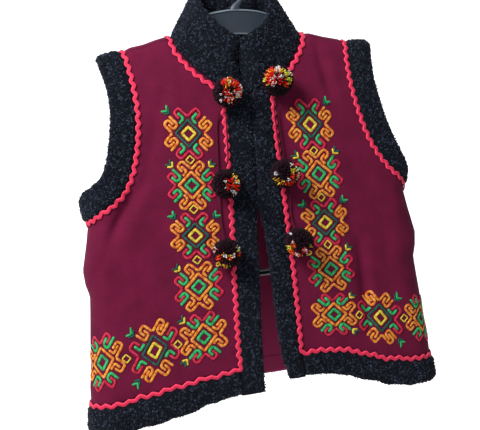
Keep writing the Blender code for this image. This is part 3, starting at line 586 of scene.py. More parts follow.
def hem_seam_down(side, across):
    return float(table(HEM_SEAM, 1 if side < 0 else 2, across))


def hem_down(side, across, face):
    column = 3 if face == BACK else (1 if side < 0 else 2)
    return float(table(HEM, column, across))


def corner_down(side):
    return hem_seam_down(side, 45.0 if side < 0 else 38.5)


def front_seam_line(side):
    """Seam of cloth and front border, neck to hem corner."""
    start = NECK_FRONT[0]
    low = corner_down(side)
    points = [to_cloth(side * start[0], start[1])]
    for down in np.linspace(start[1] + 20, low, 18):
        points.append(to_cloth(front_seam_x(side, down), down))
    return resample(points, ROWS)


def hem_seam_line(side):
    """Seam of cloth and hem border, hem corner to side seam."""
    low = corner_down(side)
    points = [to_cloth(front_seam_x(side, low), low)]
    for across in (66, 96, 125, 155, 186, 212):
        points.append(to_cloth(side * across, hem_seam_down(side, across)))
    points.append(side_point(side, hem_seam_down(side, HEM_SIDE)))
    return resample(points, COLUMNS)


def hem_edge_line(side, face):
    low = corner_down(side)
    first = abs(front_seam_x(side, low + 30))
    points = [to_cloth(side * first, hem_down(side, first, face))]
    for across in (66, 86, 108, 131, 155, 185, 212):
        points.append(to_cloth(side * across, hem_down(side, across, face)))
    points.append(side_point(side, hem_down(side, HEM_SIDE, face)))
    return resample(points, COLUMNS)


def shoulder_line(neck, side, face):
    """Shoulder from the end of the neck to the armhole."""
    tip = armhole_lines(side, face)[0][0].copy()
    tip[1] = RIDGE_GAP
    return resample([neck[-1], tip], SHOULDER_CELLS)


def front_top_line(side):
    """Neck and shoulder of a front, border to armhole."""
    neck = resample(side_line(NECK_FRONT, side)[::-1], NECK_CELLS, OVER_NECK)[::-1]
    neck[-1][1] = RIDGE_GAP
    return neck, shoulder_line(neck, side, FRONT)


def back_top_line(side):
    """Neck and shoulder of the back, from its middle to the armhole."""
    rows = [(max(x, NEAR_MIDDLE), down + NECK_EASE) for x, down in NECK_BACK]
    neck = side_line(rows, side)
    neck[-1][1] = RIDGE_GAP
    neck = resample(neck[::-1], BACK_NECK_CELLS, OVER_NECK)[::-1]
    return neck, shoulder_line(neck, side, BACK)


def back_line(drop):
    """Line across the back, drop millimetres above its lower edge."""
    ends = [side_point(side, hem_down(side, HEM_SIDE, BACK) - drop) for side in (-1, 1)]
    stations = [-across for across in BACK_STATIONS[::-1]] + [0, *BACK_STATIONS]
    points = [to_cloth(x or NEAR_MIDDLE, hem_down(1, abs(x), BACK) - drop) for x in stations]
    return resample([ends[0], *points, ends[1]], BACK_COLUMNS)


# ---------------------------------------------------------------- meshes


def add_mesh(name, points, blocks, looks, uv=None, slots=None, tags=None, keep=False):
    """A mesh object from table points and arrays of faces, closed forms turned outwards."""
    points = np.asarray(points, float).reshape(-1, 3)
    placed = in_frame(points)
    blocks = [np.asarray(block, np.int64) for block in blocks]
    volume = 0.0
    for block in blocks:
        for k in range(1, block.shape[1] - 1):
            turned = np.cross(placed[block[:, k]], placed[block[:, k + 1]])
            volume += float(np.einsum("ij,ij->", placed[block[:, 0]], turned))
    if volume < 0 and not keep:
        blocks = [block[:, ::-1] for block in blocks]
    mesh = bpy.data.meshes.new(name)
    mesh.vertices.add(len(placed))
    mesh.vertices.foreach_set("co", placed.astype(np.float32).ravel())
    loops = np.concatenate([block.ravel() for block in blocks])
    sizes = np.concatenate([np.full(len(block), block.shape[1]) for block in blocks])
    mesh.loops.add(len(loops))
    mesh.loops.foreach_set("vertex_index", loops.astype(np.int32))
    mesh.polygons.add(len(sizes))
    mesh.polygons.foreach_set("loop_start", np.concatenate([[0], np.cumsum(sizes)[:-1]]).astype(np.int32))
    mesh.polygons.foreach_set("use_smooth", np.ones(len(sizes), bool))
    if slots is not None:
        mesh.polygons.foreach_set("material_index", np.asarray(slots, np.int32))
    if uv is not None:
        layer = mesh.uv_layers.new(name="length_mm")
        layer.data.foreach_set("uv", np.asarray(uv, np.float32)[loops].ravel())
    if tags is not None:
        made = mesh.attributes.new("lightness", "FLOAT", "POINT")
        made.data.foreach_set("value", np.asarray(tags, np.float32))
    mesh.update(calc_edges=True)
    mesh.validate()
    for look in looks:
        mesh.materials.append(look)
    obj = bpy.data.objects.new(name, mesh)
    bpy.context.scene.collection.objects.link(obj)
    return obj


def grid_faces(rows, columns, first=0):
    """Faces of a grid of points, row by row."""
    r, c = np.meshgrid(np.arange(rows - 1), np.arange(columns - 1), indexing="ij")
    start = (r * columns + c).ravel() + first
    return np.stack([start, start + 1, start + columns + 1, start + columns], 1)


def tube_faces(stations, sides, closed=False):
    """Faces of a tube of equal sections."""
    s = np.arange(stations if closed else stations - 1)
    k = np.arange(sides)
    s, k = (grid.ravel() for grid in np.meshgrid(s, k, indexing="ij"))
    here, ahead = s * sides, (s + 1) % stations * sides
    return np.stack([here + k, here + (k + 1) % sides, ahead + (k + 1) % sides, ahead + k], 1)


def tuft_faces(amount, stations):
    """Sides and ends of many equal tubes of three sides, whose points follow each other."""
    count = 3 * stations
    first = np.arange(amount)[:, None, None] * count
    sides = (tube_faces(stations, 3)[None] + first).reshape(-1, 4)
    ends = np.array([[0, 2, 1], [count - 3, count - 2, count - 1]])
    return [sides, (ends[None] + first).reshape(-1, 3)]


def sheet_mesh(outer, inner):
    """Points and faces of a thin wall between two equal grids."""
    rows, columns = outer.shape[:2]
    count = rows * columns
    points = np.concatenate([outer.reshape(-1, 3), inner.reshape(-1, 3)])
    front = grid_faces(rows, columns)
    index = np.arange(count).reshape(rows, columns)
    rim = np.concatenate([index[0, :], index[1:, -1], index[-1, -2::-1], index[-2:0:-1, 0]])
    after = np.roll(rim, -1)
    edge = np.stack([rim, rim + count, after + count, after], 1)
    return points, [front, front[:, ::-1] + count, edge]


def place(obj, slot, *nodes):
    """The piece rides on the one body and stands for its solids."""
    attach(obj, BODY_NAME)
    if nodes:
        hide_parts(*nodes)
    return obj


BODY_NAME = sorted(frame["bodies"])[0]

# ---------------------------------------------------------------- materials


def add_node(tree, kind, links=(), **values):
    """A shader node with its sockets set, and linked from (output, input name) pairs."""
    made = tree.nodes.new("ShaderNode" + kind)
    for name, value in values.items():
        if hasattr(made, name):
            setattr(made, name, value)
        else:
            made.inputs[name.replace("_", " ")].default_value = value
    for output, name in links:
        tree.links.new(output, made.inputs[name])
    return made


def new_look(name, roughness, sheen=0.0, sheen_tint=(1, 1, 1), coat=0.0, specular=0.5):
    """A material with its Principled shader and the cloth's own lengths as coordinates."""
    made = bpy.data.materials.new(name)
    made.use_nodes = True
    tree = made.node_tree
    shader = next((n for n in tree.nodes if n.type == "BSDF_PRINCIPLED"), None)
    shader.inputs["Roughness"].default_value = roughness
    shader.inputs["Sheen Weight"].default_value = sheen
    shader.inputs["Sheen Roughness"].default_value = 0.45
    shader.inputs["Sheen Tint"].default_value = (*sheen_tint, 1.0)
    shader.inputs["Coat Weight"].default_value = coat
    shader.inputs["Specular IOR Level"].default_value = specular
    return made, tree, shader


# Where a thread's painted glint colour sits on its ramp.
GLINT_START = 0.50


def lengths(tree):
    return add_node(tree, "UVMap", uv_map="length_mm").outputs["UV"]


def object_place(tree):
    return add_node(tree, "TexCoord").outputs["Object"]


def noise(tree, vector, **values):
    return add_node(tree, "TexNoise", [(vector, "Vector")], **values).outputs["Fac"]


def bands(tree, vector, direction, **values):
    """Parallel waves of light and dark."""
    made = add_node(tree, "TexWave", [(vector, "Vector")], bands_direction=direction, **values)
    return made.outputs["Fac"]


def calc(tree, operation, *sources):
    """Result of a Math node, whose sources are outputs or numbers."""
    made = add_node(tree, "Math", operation=operation)
    for k, source in enumerate(sources):
        if isinstance(source, (int, float)):
            made.inputs[k].default_value = source
        else:
            tree.links.new(source, made.inputs[k])
    return made.outputs[0]


def far_from(tree, value, level):
    return calc(tree, "ABSOLUTE", calc(tree, "SUBTRACT", value, level))


def second(tree, vector):
    """Second part of a vector: down the cloth, or across a braid or a stroke."""
    return add_node(tree, "SeparateXYZ", [(vector, "Vector")]).outputs["Y"]


def fade(tree, value, kind="SMOOTHSTEP", **ends):
    """A value carried over from its own range, 0 to 1 unless ends say otherwise, to another."""
    return add_node(tree, "MapRange", [(value, "Value")], interpolation_type=kind, **ends).outputs[0]


def blend(tree, factor, low, high, start=0.0, end=1.0, glint=None):
    """Colour from low to high by a clamped factor, and on to the painted glint's."""
    ramp = add_node(tree, "ValToRGB", [(factor, "Fac")])
    for element, colour, position in zip(ramp.color_ramp.elements, (low, high), (start, end)):
        element.color = (*colour, 1.0)
        element.position = position
    if glint is not None:
        ramp.color_ramp.elements.new(GLINT_START).color = (*glint, 1.0)
    return ramp.outputs["Color"]


def relief(tree, shader, height, distance, strength=1.0, under=None):
    """Bump of height, in metres of distance, on the shader; laid over another bump."""
    links = [(height, "Height")]
    if under is not None:
        links.append((under, "Normal"))
    bump = add_node(tree, "Bump", links=links, Distance=distance, Strength=strength)
    tree.links.new(bump.outputs["Normal"], shader.inputs["Normal"])
    return bump.outputs["Normal"]


def cloth_look(name, seam, low, high):
    """Fine twill of wool, a little mottled, with painted shade along the groove of a seam this far down the
    cloth.
    """
    made, tree, shader = new_look(name, 0.88, 0.06, (0.85, 0.20, 0.55), specular=0.12)
    uv = lengths(tree)
    patch = noise(tree, uv, Scale=0.035, Detail=3.0)
    grain = noise(tree, uv, Scale=0.75, Detail=4.0, Roughness=0.7)
    mottled = calc(tree, "MULTIPLY_ADD", grain, 0.75, calc(tree, "MULTIPLY", patch, 0.25))
    colour = blend(tree, mottled, low, high, 0.40, 0.60)
    # Painted shade: the colour darkens towards the seam's line, to 0.35 of its value there.
    groove = fade(tree, far_from(tree, second(tree, uv), seam), From_Max=1.1, To_Min=0.35)
    shaded = add_node(tree, "HueSaturation", [(colour, "Color"), (groove, "Value")])
    tree.links.new(shaded.outputs["Color"], shader.inputs["Base Color"])
    twill = bands(tree, uv, "DIAGONAL", Scale=0.5, Distortion=0.6, Detail=1.0)
    under = relief(tree, shader, twill, 0.00010, 0.7)
    relief(tree, shader, grain, 0.00035, 0.8, under)
    return made


def boucle_look(low, high):
    """Curled yarn: each curl has its own lightness, with thin curling fibres between."""
    made, tree, shader = new_look("boucle_yarn", 0.95, 0.05, (0.6, 0.66, 0.8), specular=0.12)
    tag = add_node(tree, "Attribute", attribute_name="lightness").outputs["Fac"]
    spread = noise(tree, object_place(tree), Scale=330.0, Detail=2.0, Distortion=1.6)
    # The lines of equal value of a noise curl as the fibres do.
    fibre = fade(tree, far_from(tree, spread, 0.5), From_Max=0.035, To_Min=1.0, To_Max=0.0)
    lit = calc(tree, "MULTIPLY_ADD", fibre, 0.34, tag)
    colour = blend(tree, lit, low, high, 0.10, 1.15 / 1.3)
    tree.links.new(colour, shader.inputs["Base Color"])
    relief(tree, shader, fibre, 0.0007)
    return made


def braid_look():
    """Flat braided trim: fine strands that cross from edge to edge."""
    made, tree, shader = new_look("rickrack_braid", 0.6, 0.08, (1.0, 0.5, 0.6), specular=0.25)
    uv = lengths(tree)
    strands = bands(tree, uv, "DIAGONAL", Scale=0.33, Distortion=1.2, Detail=2.0)
    worn = calc(tree, "MULTIPLY", strands, noise(tree, uv, Scale=0.25, Detail=3.0))
    # The edges of the braid catch more light than its middle.
    out = far_from(tree, second(tree, uv), 0.0)
    edge = fade(tree, out, From_Min=0.25 * RICK_HALF, From_Max=0.95 * RICK_HALF, To_Max=0.65)
    lit = calc(tree, "ADD", worn, edge)
    colour = blend(tree, lit, BRAID_DARK, BRAID_LIGHT, 0.0, 0.9)
    tree.links.new(colour, shader.inputs["Base Color"])
    relief(tree, shader, strands, 0.00022)
    return made


def thread_look(name, colour, glint):
    """Satin stitches side by side across the line, with a painted glint where they are fullest and painted
    shade towards their edges.
    """
    made, tree, shader = new_look(name, 0.42, 0.04, colour, specular=0.3)
    uv = lengths(tree)
    stitches = bands(tree, uv, "X", Scale=0.42, Distortion=0.9, Detail=1.0)
    tone = calc(tree, "MULTIPLY", stitches, noise(tree, uv, Scale=0.6, Detail=2.0))
    # Painted shade: towards its edges, where a line of satin stitch dips into the cloth, its colour
    # darkens.
    out = far_from(tree, second(tree, uv), 0.0)
    middle = fade(tree, out, From_Min=0.62, To_Min=1.0, To_Max=0.0)
    fullness = calc(tree, "MULTIPLY", tone, middle)
    # The painted glint and shade vary in strength from stretch to stretch along the thread.
    sweep = noise(tree, uv, Scale=0.13, Detail=1.0)
    stretch = fade(tree, sweep, "LINEAR", From_Min=0.35, From_Max=0.65, To_Min=0.55, To_Max=1.5)
    lit = calc(tree, "MULTIPLY", fullness, stretch)
    # Painted shade: the thread's colour at 0.16 of its strength, where the ramp starts.
    low = tuple(0.16 * part for part in colour)
    tree.links.new(blend(tree, lit, low, colour, 0.0, 0.28, glint), shader.inputs["Base Color"])
    relief(tree, shader, stitches, 0.00016)
    return made


def yarn_look(name, colour, darker=0.55):
    """Cut wool yarn, darker and lighter along its fibres."""
    made, tree, shader = new_look(name, 0.85, 0.06, colour, specular=0.2)
    fibres = noise(tree, object_place(tree), Scale=900.0, Detail=4.0)
    low = tuple(darker * part for part in colour)
    tree.links.new(blend(tree, fibres, low, colour, 0.3, 0.6), shader.inputs["Base Color"])
    relief(tree, shader, fibres, 0.0004)
    return made


def plastic_look(name, low, high):
    """Moulded plastic with a faint grain and a little wear."""
    made, tree, shader = new_look(name, 0.42, coat=0.06, specular=0.4)
    grain = noise(tree, object_place(tree), Scale=380.0, Detail=5.0)
    wear = noise(tree, object_place(tree), Scale=22.0, Detail=3.0)
    tree.links.new(blend(tree, wear, low, high), shader.inputs["Base Color"])
    relief(tree, shader, grain, 0.00012)
    return made


CLOTH_DARK = (0.080, 0.0034, 0.0210)
CLOTH_LIGHT = (0.148, 0.0066, 0.0385)
# Painted light: the cloth's inside is the same burgundy made several times lighter, standing in for light
# that reaches the inside of the vest.
PAINTED_LIGHT_REVERSE_DARK = (0.270, 0.0240, 0.0850)
PAINTED_LIGHT_REVERSE_LIGHT = (0.360, 0.0340, 0.1150)
BRAID_DARK = (0.54, 0.008, 0.048)
BRAID_LIGHT = (0.97, 0.056, 0.140)
PLASTIC_DARK = (0.020, 0.029, 0.042)
PLASTIC_LIGHT = (0.034, 0.048, 0.068)
# Thread: its colour, and the colour of its painted glint.
THREADS = {
    "orange": ((0.92, 0.160, 0.004), (1.0, 0.58, 0.09)),
    "pink": ((0.60, 0.005, 0.044), (0.86, 0.020, 0.095)),
    "green": ((0.008, 0.48, 0.12), (0.04, 0.68, 0.24)),
    "teal": ((0.004, 0.085, 0.062), (0.012, 0.14, 0.10)),
    "yellow": ((0.92, 0.66, 0.030), (1.0, 0.86, 0.11)),
}
YARNS = {
    "dark": (0.013, 0.0042, 0.0082),
    "burgundy": (0.050, 0.0080, 0.026),
    "red": (0.88, 0.014, 0.012),
    "orange": (0.88, 0.16, 0.012),
    "yellow": (0.88, 0.70, 0.06),
    "lime": (0.52, 0.70, 0.05),
    "white": (0.90, 0.90, 0.90),
}
CLOTH_LOOKS = {
    FRONT: cloth_look("wool_cloth_front", 12.0, CLOTH_DARK, CLOTH_LIGHT),
    BACK: cloth_look("wool_cloth_back", 451.0, CLOTH_DARK, CLOTH_LIGHT),
}
PAINTED_LIGHT_REVERSE_LOOK = cloth_look("wool_cloth_reverse_painted_light", 451.0, PAINTED_LIGHT_REVERSE_DARK, PAINTED_LIGHT_REVERSE_LIGHT)
BOUCLE_LOOK = boucle_look((0.0020, 0.0030, 0.0072), (0.076, 0.096, 0.152))
BRAID_LOOK = braid_look()
THREAD_LOOKS = {name: thread_look("thread_" + name, *colours) for name, colours in THREADS.items()}
YARN_LOOKS = {name: yarn_look("yarn_" + name, colour) for name, colour in YARNS.items()}
CORD_LOOK = yarn_look("cord_twist", (0.085, 0.008, 0.020), 0.4)
PLASTIC_LOOKS = (
    plastic_look("moulded_plastic", PLASTIC_DARK, PLASTIC_LIGHT),
    # The rims' lighter plastics are painted highlights.
    plastic_look("arm_rim_painted_highlight", (0.10, 0.13, 0.16), (0.17, 0.21, 0.25)),
    plastic_look("bar_rim_painted_highlight", (0.50, 0.57, 0.57), (0.66, 0.73, 0.73)),
)

# ---------------------------------------------------------------- cloth panels


def cloth_piece(name, grid, face, node):
    outer = lifted(grid, face, np.zeros(grid.shape[:2]))
    inner = lifted(grid, face, np.full(grid.shape[:2], -CLOTH))
    points, blocks = sheet_mesh(outer, inner)
    lengths_of = np.concatenate([grid.reshape(-1, 2)] * 2)
    # Slot 1, on the inner face, is the inside's look with its painted light.
    slots = np.concatenate([np.full(len(block), k) for block, k in zip(blocks, (0, 1, 0))])
    piece = add_mesh(name, points, blocks, [CLOTH_LOOKS[face], PAINTED_LIGHT_REVERSE_LOOK], uv=lengths_of, slots=slots)
    return place(piece, "cloth", node)


def front_grid(side):
    neck, shoulder = front_top_line(side)
    top = chain(smooth(neck, FINE), smooth(shoulder, FINE))
    bottom = smooth(hem_seam_line(side), FINE)
    inner = smooth(front_seam_line(side), FINE)
    arm = smooth(armhole_lines(side, FRONT)[0], FINE)
    low = side_seam(side, UNDERARM_SEAM, hem_seam_down(side, HEM_SIDE))
    outer = chain(arm, low)
    outer[0] = top[-1]
    return coons(top, bottom, inner, outer)


def back_grid():
    tops = []
    for side in (-1, 1):
        neck, shoulder = back_top_line(side)
        tops.append(chain(smooth(neck, FINE), smooth(shoulder, FINE)))
    top = np.concatenate([tops[0][::-1], tops[1][1:]])
    band_top = smooth(back_line(HEM_BAND), FINE)
    sides = []
    for side, end in ((-1, 0), (1, -1)):
        arm = smooth(armhole_lines(side, BACK)[0], FINE)
        low = side_seam(side, UNDERARM_SEAM, hem_down(side, HEM_SIDE, BACK) - HEM_BAND)
        line = chain(arm, low)
        line[0] = top[end]
        sides.append(line)
    upper = coons(top, band_top, sides[0], sides[1])
    lower = [smooth(back_line(HEM_BAND * (1 - k / 9)), FINE) for k in range(1, 10)]
    return np.concatenate([upper, np.array(lower)])


PANELS = {}
for side, word in SIDES:
    PANELS[word] = cloth_piece("cloth_front_" + word, front_grid(side), FRONT, "front_" + word)
PANELS["back"] = cloth_piece("cloth_back", back_grid(), BACK, "back")

# ---------------------------------------------------------------- boucle borders
CURL_AREA = 8.0
CURL_REACH = 1.2
CURL_SEGMENTS = 4
CURL_RADII = (0.75, 1.5)
CURL_THICKNESSES = (0.36, 0.54)
CURL_TILTS = (5, 60)  # degrees
CURL_TURNS = (190, 320)  # degrees
LIGHT_SHARE = 0.52
LIGHT_TONES = (0.3, 0.9)
DARK_TONES = (0.0, 0.28)
FINE_BAND = 5  # cells of a border for each cell of the cloth
# Border section: distance from the seam as a share of the width and as mm, height.
BORDER_FACE = [
    (0, 0.4, 0.0),
    (0, 2.6, 0.3),
    (0, 3.5, 2.0),
    (0, 5.8, 3.1),
    (0, 8.6, 4.0),
    (0.4, 0.0, 4.4),
    (0.6, 0.0, 4.5),
    (1, -8.0, 4.4),
    (1, -4.5, 4.0),
    (1, -2.0, 3.0),
    (1, -0.6, 1.6),
    (1, 0.0, 0.2),
    (1, -0.1, -1.2),
    (1, -1.6, -2.4),
]
BORDER_BACK = ((0.7, -2.4), (0.4, -2.4), (0.0, -2.4))


def wrapped(sections, closed):
    """Points and faces of a tube through equal sections, its ends filled when it is open."""
    stations, sides = sections.shape[:2]
    blocks = [tube_faces(stations, sides, closed)]
    if not closed:
        last = (stations - 1) * sides
        blocks.append(np.arange(sides)[None, ::-1])
        blocks.append(last + np.arange(sides)[None])
    return sections.reshape(-1, 3), blocks


def scatter(grid, closed, amount_area, rng):
    """Places and normals spread evenly over a grid of points, one for each amount_area mm2."""
    if closed:
        grid = np.concatenate([grid, grid[:1]])
    corner, right, low = grid[:-1, :-1], grid[:-1, 1:], grid[1:, :-1]
    far = grid[1:, 1:]
    cross = np.cross(right - low, far - corner)
    area = 0.5 * np.linalg.norm(cross, axis=-1)
    amount = int(area.sum() / amount_area)
    picked = rng.choice(area.size, amount, p=(area / area.sum()).ravel())
    a, b = rng.random(amount)[:, None], rng.random(amount)[:, None]
    grids = (corner, right, low, far, cross)
    corner, right, low, far, cross = (rows.reshape(-1, 3)[picked] for rows in grids)
    places = (1 - a) * ((1 - b) * corner + b * right) + a * ((1 - b) * low + b * far)
    return places, unit(cross)


def curls(places, normals, rng):
    """Little rings of yarn, open on one side, that stand and lie on a surface."""
    amount = len(places)
    radius = rng.uniform(*CURL_RADII, amount)
    thick = rng.uniform(*CURL_THICKNESSES, amount)
    tilt = np.radians(rng.uniform(*CURL_TILTS, amount))
    free = unit(rng.normal(size=(amount, 3)))
    tangent = unit(np.cross(normals, free))
    axis = normals * np.cos(tilt)[:, None] + tangent * np.sin(tilt)[:, None]
    u = unit(np.cross(axis, tangent + normals * 0.01))
    w = np.cross(axis, u)
    centre = places + normals * (0.10 + 0.35 * radius * np.sin(tilt))[:, None]
    turn = np.radians(rng.uniform(*CURL_TURNS, amount))
    start = rng.uniform(0, 2 * math.pi, amount)
    steps = np.linspace(0, 1, CURL_SEGMENTS + 1)
    angle = start[:, None] + turn[:, None] * steps
    out = np.cos(angle)[..., None] * u[:, None] + np.sin(angle)[..., None] * w[:, None]
    rings = []
    for k in range(3):
        side = 2 * math.pi * k / 3
        far = (radius + thick * math.cos(side))[:, None, None] * out
        rise = (thick * math.sin(side))[:, None, None] * axis[:, None]
        rings.append(centre[:, None] + far + rise)
    points = np.stack(rings, 2).reshape(-1, 3)
    # About half of the curls are a lighter grey.
    is_light = rng.random(amount) < LIGHT_SHARE
    light = np.where(is_light, rng.uniform(*LIGHT_TONES, amount), rng.uniform(*DARK_TONES, amount))
    return points, tuft_faces(amount, CURL_SEGMENTS + 1), np.repeat(light, 3 * (CURL_SEGMENTS + 1))


def boucle_piece(node, sections, closed, face_rows, seed):
    """A boucle border: its ground, and curls of yarn over the rows that show."""
    rng = np.random.default_rng(seed)
    first, last = face_rows
    places, normals = scatter(sections[:, first:last], closed, CURL_AREA, rng)
    middle = sections.mean(axis=1)
    nearest = middle[np.argmin(np.linalg.norm(places[:, None, :] - middle[None, ::4], axis=2), axis=1) * 4]
    if np.einsum("ij,ij->i", places - nearest, normals).sum() < 0:
        normals = -normals
    ground = sections.copy()
    away = unit(sections - middle[:, None])
    rough = rng.uniform(-0.5, 0.5, sections.shape[:2])
    rough[:, :first] = 0.0
    rough[:, last:] = 0.0
    ground += away * rough[..., None]
    points, blocks = wrapped(ground, closed)
    curl_points, curl_blocks, light = curls(places, normals, rng)
    blocks += [block + len(points) for block in curl_blocks]
    tags = np.concatenate([rng.uniform(0.0, 0.06, len(points)), light])
    points = np.concatenate([points, curl_points])
    made = add_mesh("boucle_" + node, points, blocks, [BOUCLE_LOOK], tags=tags)
    BOUCLE[node] = place(made, "boucle", node)


def border_sections(seam, edge, face, flange, short=CURL_REACH):
    """Sections of a border from its seam line to its edge line; flange 1 where braid lies on the seam.

    The ground stops short of the edge, which the curls then reach."""
    whole = np.linalg.norm(edge - seam, axis=1)
    width = whole - short
    low = 1.0 - np.asarray(flange, float)
    reach, heights = [], []
    for share, run, height in BORDER_FACE:
        lift = np.full(len(width), height)
        if share < 0.5:
            lift = lift + low * np.maximum(3.4 - 0.8 * height, 0.0)
        reach.append(share * width + run)
        heights.append(lift)
    for share, height in BORDER_BACK:
        reach.append(np.maximum(share * width, SEAM))
        heights.append(np.full(len(width), height))
    reach, heights = np.stack(reach, 1), np.stack(heights, 1)
    along = (reach / whole[:, None])[..., None]
    line = seam[:, None] * (1 - along) + edge[:, None] * along
    return lifted(line, face, heights)


def front_band(side):
    """Seam line, edge line and braid share of the front border, neck to lower edge."""
    low = corner_down(side)
    edges = [to_cloth(opening_x(side, 74.0), 75.0)]
    for down in np.linspace(90, low, 18):
        edges.append(to_cloth(opening_x(side, down), down))
    seams = list(front_seam_line(side))
    edges = list(resample(edges, ROWS))
    for k in range(1, HEM_CELLS + 1):
        share = k / HEM_CELLS
        for lines, across in (
            (seams, front_seam_x(side, low + 35 * share)),
            (edges, opening_x(side, low + 35 * share)),
        ):
            lines.append(to_cloth(across, low + share * (hem_down(side, abs(across), FRONT) - low)))
    fade_out = (np.ones(ROWS * FINE_BAND), np.linspace(1, 0, FINE_BAND), np.zeros(FINE_BAND + 1))
    flange = np.concatenate(fade_out)
    return smooth(seams, FINE_BAND), smooth(edges, FINE_BAND), flange, seams[-1]


FACE_ROWS = (3, len(BORDER_FACE))
BOUCLE = {}
for number, (side, word) in enumerate(SIDES):
    band_seam, band_edge, flange, low_corner = front_band(side)
    sections = border_sections(band_seam, band_edge, FRONT, flange, 0.0)
    boucle_piece("front_band_" + word, sections, False, FACE_ROWS, 11 + number)

    seams, edges = hem_seam_line(side), hem_edge_line(side, FRONT)
    edges[0] = low_corner
    seams[0] = seams[0] + (side * SEAM, 0.0)
    edges[0] = edges[0] + (side * SEAM, 0.0)
    seams, edges = smooth(seams, FINE_BAND), smooth(edges, FINE_BAND)
    sections = border_sections(seams, edges, FRONT, np.ones(len(seams)))
    boucle_piece("hem_band_" + word, sections, False, FACE_ROWS, 21 + number)

    rings = []
    for face, way in ((FRONT, 1), (BACK, -1)):
        seams, edges = (smooth(line, FINE_BAND) for line in armhole_lines(side, face))
        made = border_sections(seams, edges, face, np.ones(len(seams)))
        rings.append(made[::way] if face == FRONT else made[::way][1:-1])
    boucle_piece("armhole_band_" + word, np.concatenate(rings), True, FACE_ROWS, 31 + number)

# Hem border of the back: share of the way down from its seam, height over the cloth.
BACK_BAND = [
    (0.0, 0.4), (0.07, 0.6), (0.11, 2.6), (0.16, 3.8), (0.28, 4.6), (0.5, 5.0),
    (0.75, 5.0), (0.9, 4.7), (0.97, 3.9), (1.0, 2.6), (1.0, 0.35), (0.5, 0.35), (0.0, 0.35),
]
band_top, band_low = smooth(back_line(HEM_BAND), FINE), smooth(back_line(0.0), FINE)
rows = []
for share, height in BACK_BAND:
    line = band_top * (1 - share) + band_low * share
    rows.append(lifted(line, BACK, np.full(len(line), height + (0.35 if height > 0.35 else 0.0))))
boucle_piece("hem_band_back", np.stack(rows, 1), False, (2, 11), 41)

# ---------------------------------------------------------------- boucle collar
COLLAR_CELLS = 15
# Section of the collar: share of its height, distance out from its middle as a share of
# half its thickness.
COLLAR_SECTION = [
    (0.0, 1.0), (0.12, 1.0), (0.25, 1.0), (0.4, 1.0), (0.55, 1.0), (0.7, 1.0), (0.83, 1.0), (0.93, 0.97),
    (0.985, 0.75), (1.0, 0.3), (1.0, -0.3), (0.985, -0.75), (0.93, -0.97), (0.83, -1.0), (0.7, -1.0),
    (0.55, -1.0), (0.4, -1.0), (0.25, -1.0), (0.12, -1.0), (0.0, -1.0),
]
# Share of the height, thickness there.
COLLAR_WALL = [(0.0, 4.8), (0.12, 5.4), (0.8, 5.6), (0.93, 4.4), (1.0, 3.4)]
COLLAR_END = 20.0
COLLAR_GAP = 0.2
COLLAR_OVERLAP = (17.0, 67.0)  # across from the opening, down: foot of the collar over the borders
COLLAR_MIDDLE_Y = -6.0  # the collar's wall stands round an upright line here


def collar_half(side):
    """Foot and top of the collar, from the front opening to the middle of the back."""
    start = NECK_CENTRE[0] + side * COLLAR_GAP
    foot = []
    for x, down in ((start, NECK_CENTRE[1]), (start + side * COLLAR_OVERLAP[0], COLLAR_OVERLAP[1])):
        foot.append(surface(*to_cloth(x, down), FRONT))
    for x, down in NECK_FRONT[:-1]:
        foot.append(surface(*to_cloth(side * x, down), FRONT))
    foot.append(surface(side * NECK_HALF, 0.0, FRONT))
    for x, down in reversed(NECK_BACK[:-1]):
        foot.append(surface(*to_cloth(side * max(x, NEAR_MIDDLE), down), BACK))
    crown = []
    for x, y, down_left, down_right in COLLAR_TOP:
        shift = COLLAR_V * max(0.0, 1 - x / COLLAR_V_RUN) if y < 0 else 0.0
        gap = COLLAR_GAP if x == 0 and y < 0 else 0.0
        crown.append((side * (x + gap) + shift, y, down_left if side < 0 else down_right))
    return resample(foot, COLLAR_CELLS), resample(crown, COLLAR_CELLS)


foot_right, crown_right = collar_half(1)
foot_left, crown_left = collar_half(-1)
foot = smooth(np.concatenate([foot_right, foot_left[::-1][1:]]), FINE_BAND)
crown = smooth(np.concatenate([crown_right, crown_left[::-1][1:]]), FINE_BAND)
foot = foot + (crown - foot) * (COLLAR_LIFT / np.linalg.norm(crown - foot, axis=1, keepdims=True))
share = np.array([row[0] for row in COLLAR_SECTION])[:, None]
run = run_along(foot)
from_end = np.minimum(run, run[-1] - run)
middling = 4 * share[:, 0] * (1 - share[:, 0])
middle = foot[:, None] * (1 - share) + crown[:, None] * share
away = unit(middle * (1.0, 1.0, 0.0) - (0.0, COLLAR_MIDDLE_Y, 0.0))
middle = middle + away * (COLLAR_BULGE * middling[:, None] * np.abs(away[..., :1]) ** 0.7)
middle[..., 0] += COLLAR_SWAY * middling * np.clip(1 - from_end / COLLAR_SWAY_RUN, 0.0, 1.0)[:, None]
around = np.gradient(middle, axis=0)
upward = (crown - foot)[:, None] + 0.0 * middle
normal = unit(np.cross(around, upward))
normal = normal * np.sign(np.einsum("ijk,ijk->ij", normal, away))[..., None]
wall = np.array([row[1] * table(COLLAR_WALL, 1, row[0]) / 2 for row in COLLAR_SECTION])
# Both front ends are rolled in, so that a groove runs down between them.
full = 0.2 + 0.8 * np.sqrt(1 - (1 - np.clip(from_end / COLLAR_END, 0.0, 1.0)) ** 2)
sections = middle + normal * (wall[None, :] * full[:, None])[..., None]
sections[..., 1] += COLLAR_ROLL * middling * (np.clip(1 - from_end / COLLAR_END, 0.0, 1.0) ** 1.5)[:, None]
boucle_piece("collar", sections, False, (0, len(COLLAR_SECTION)), 51)

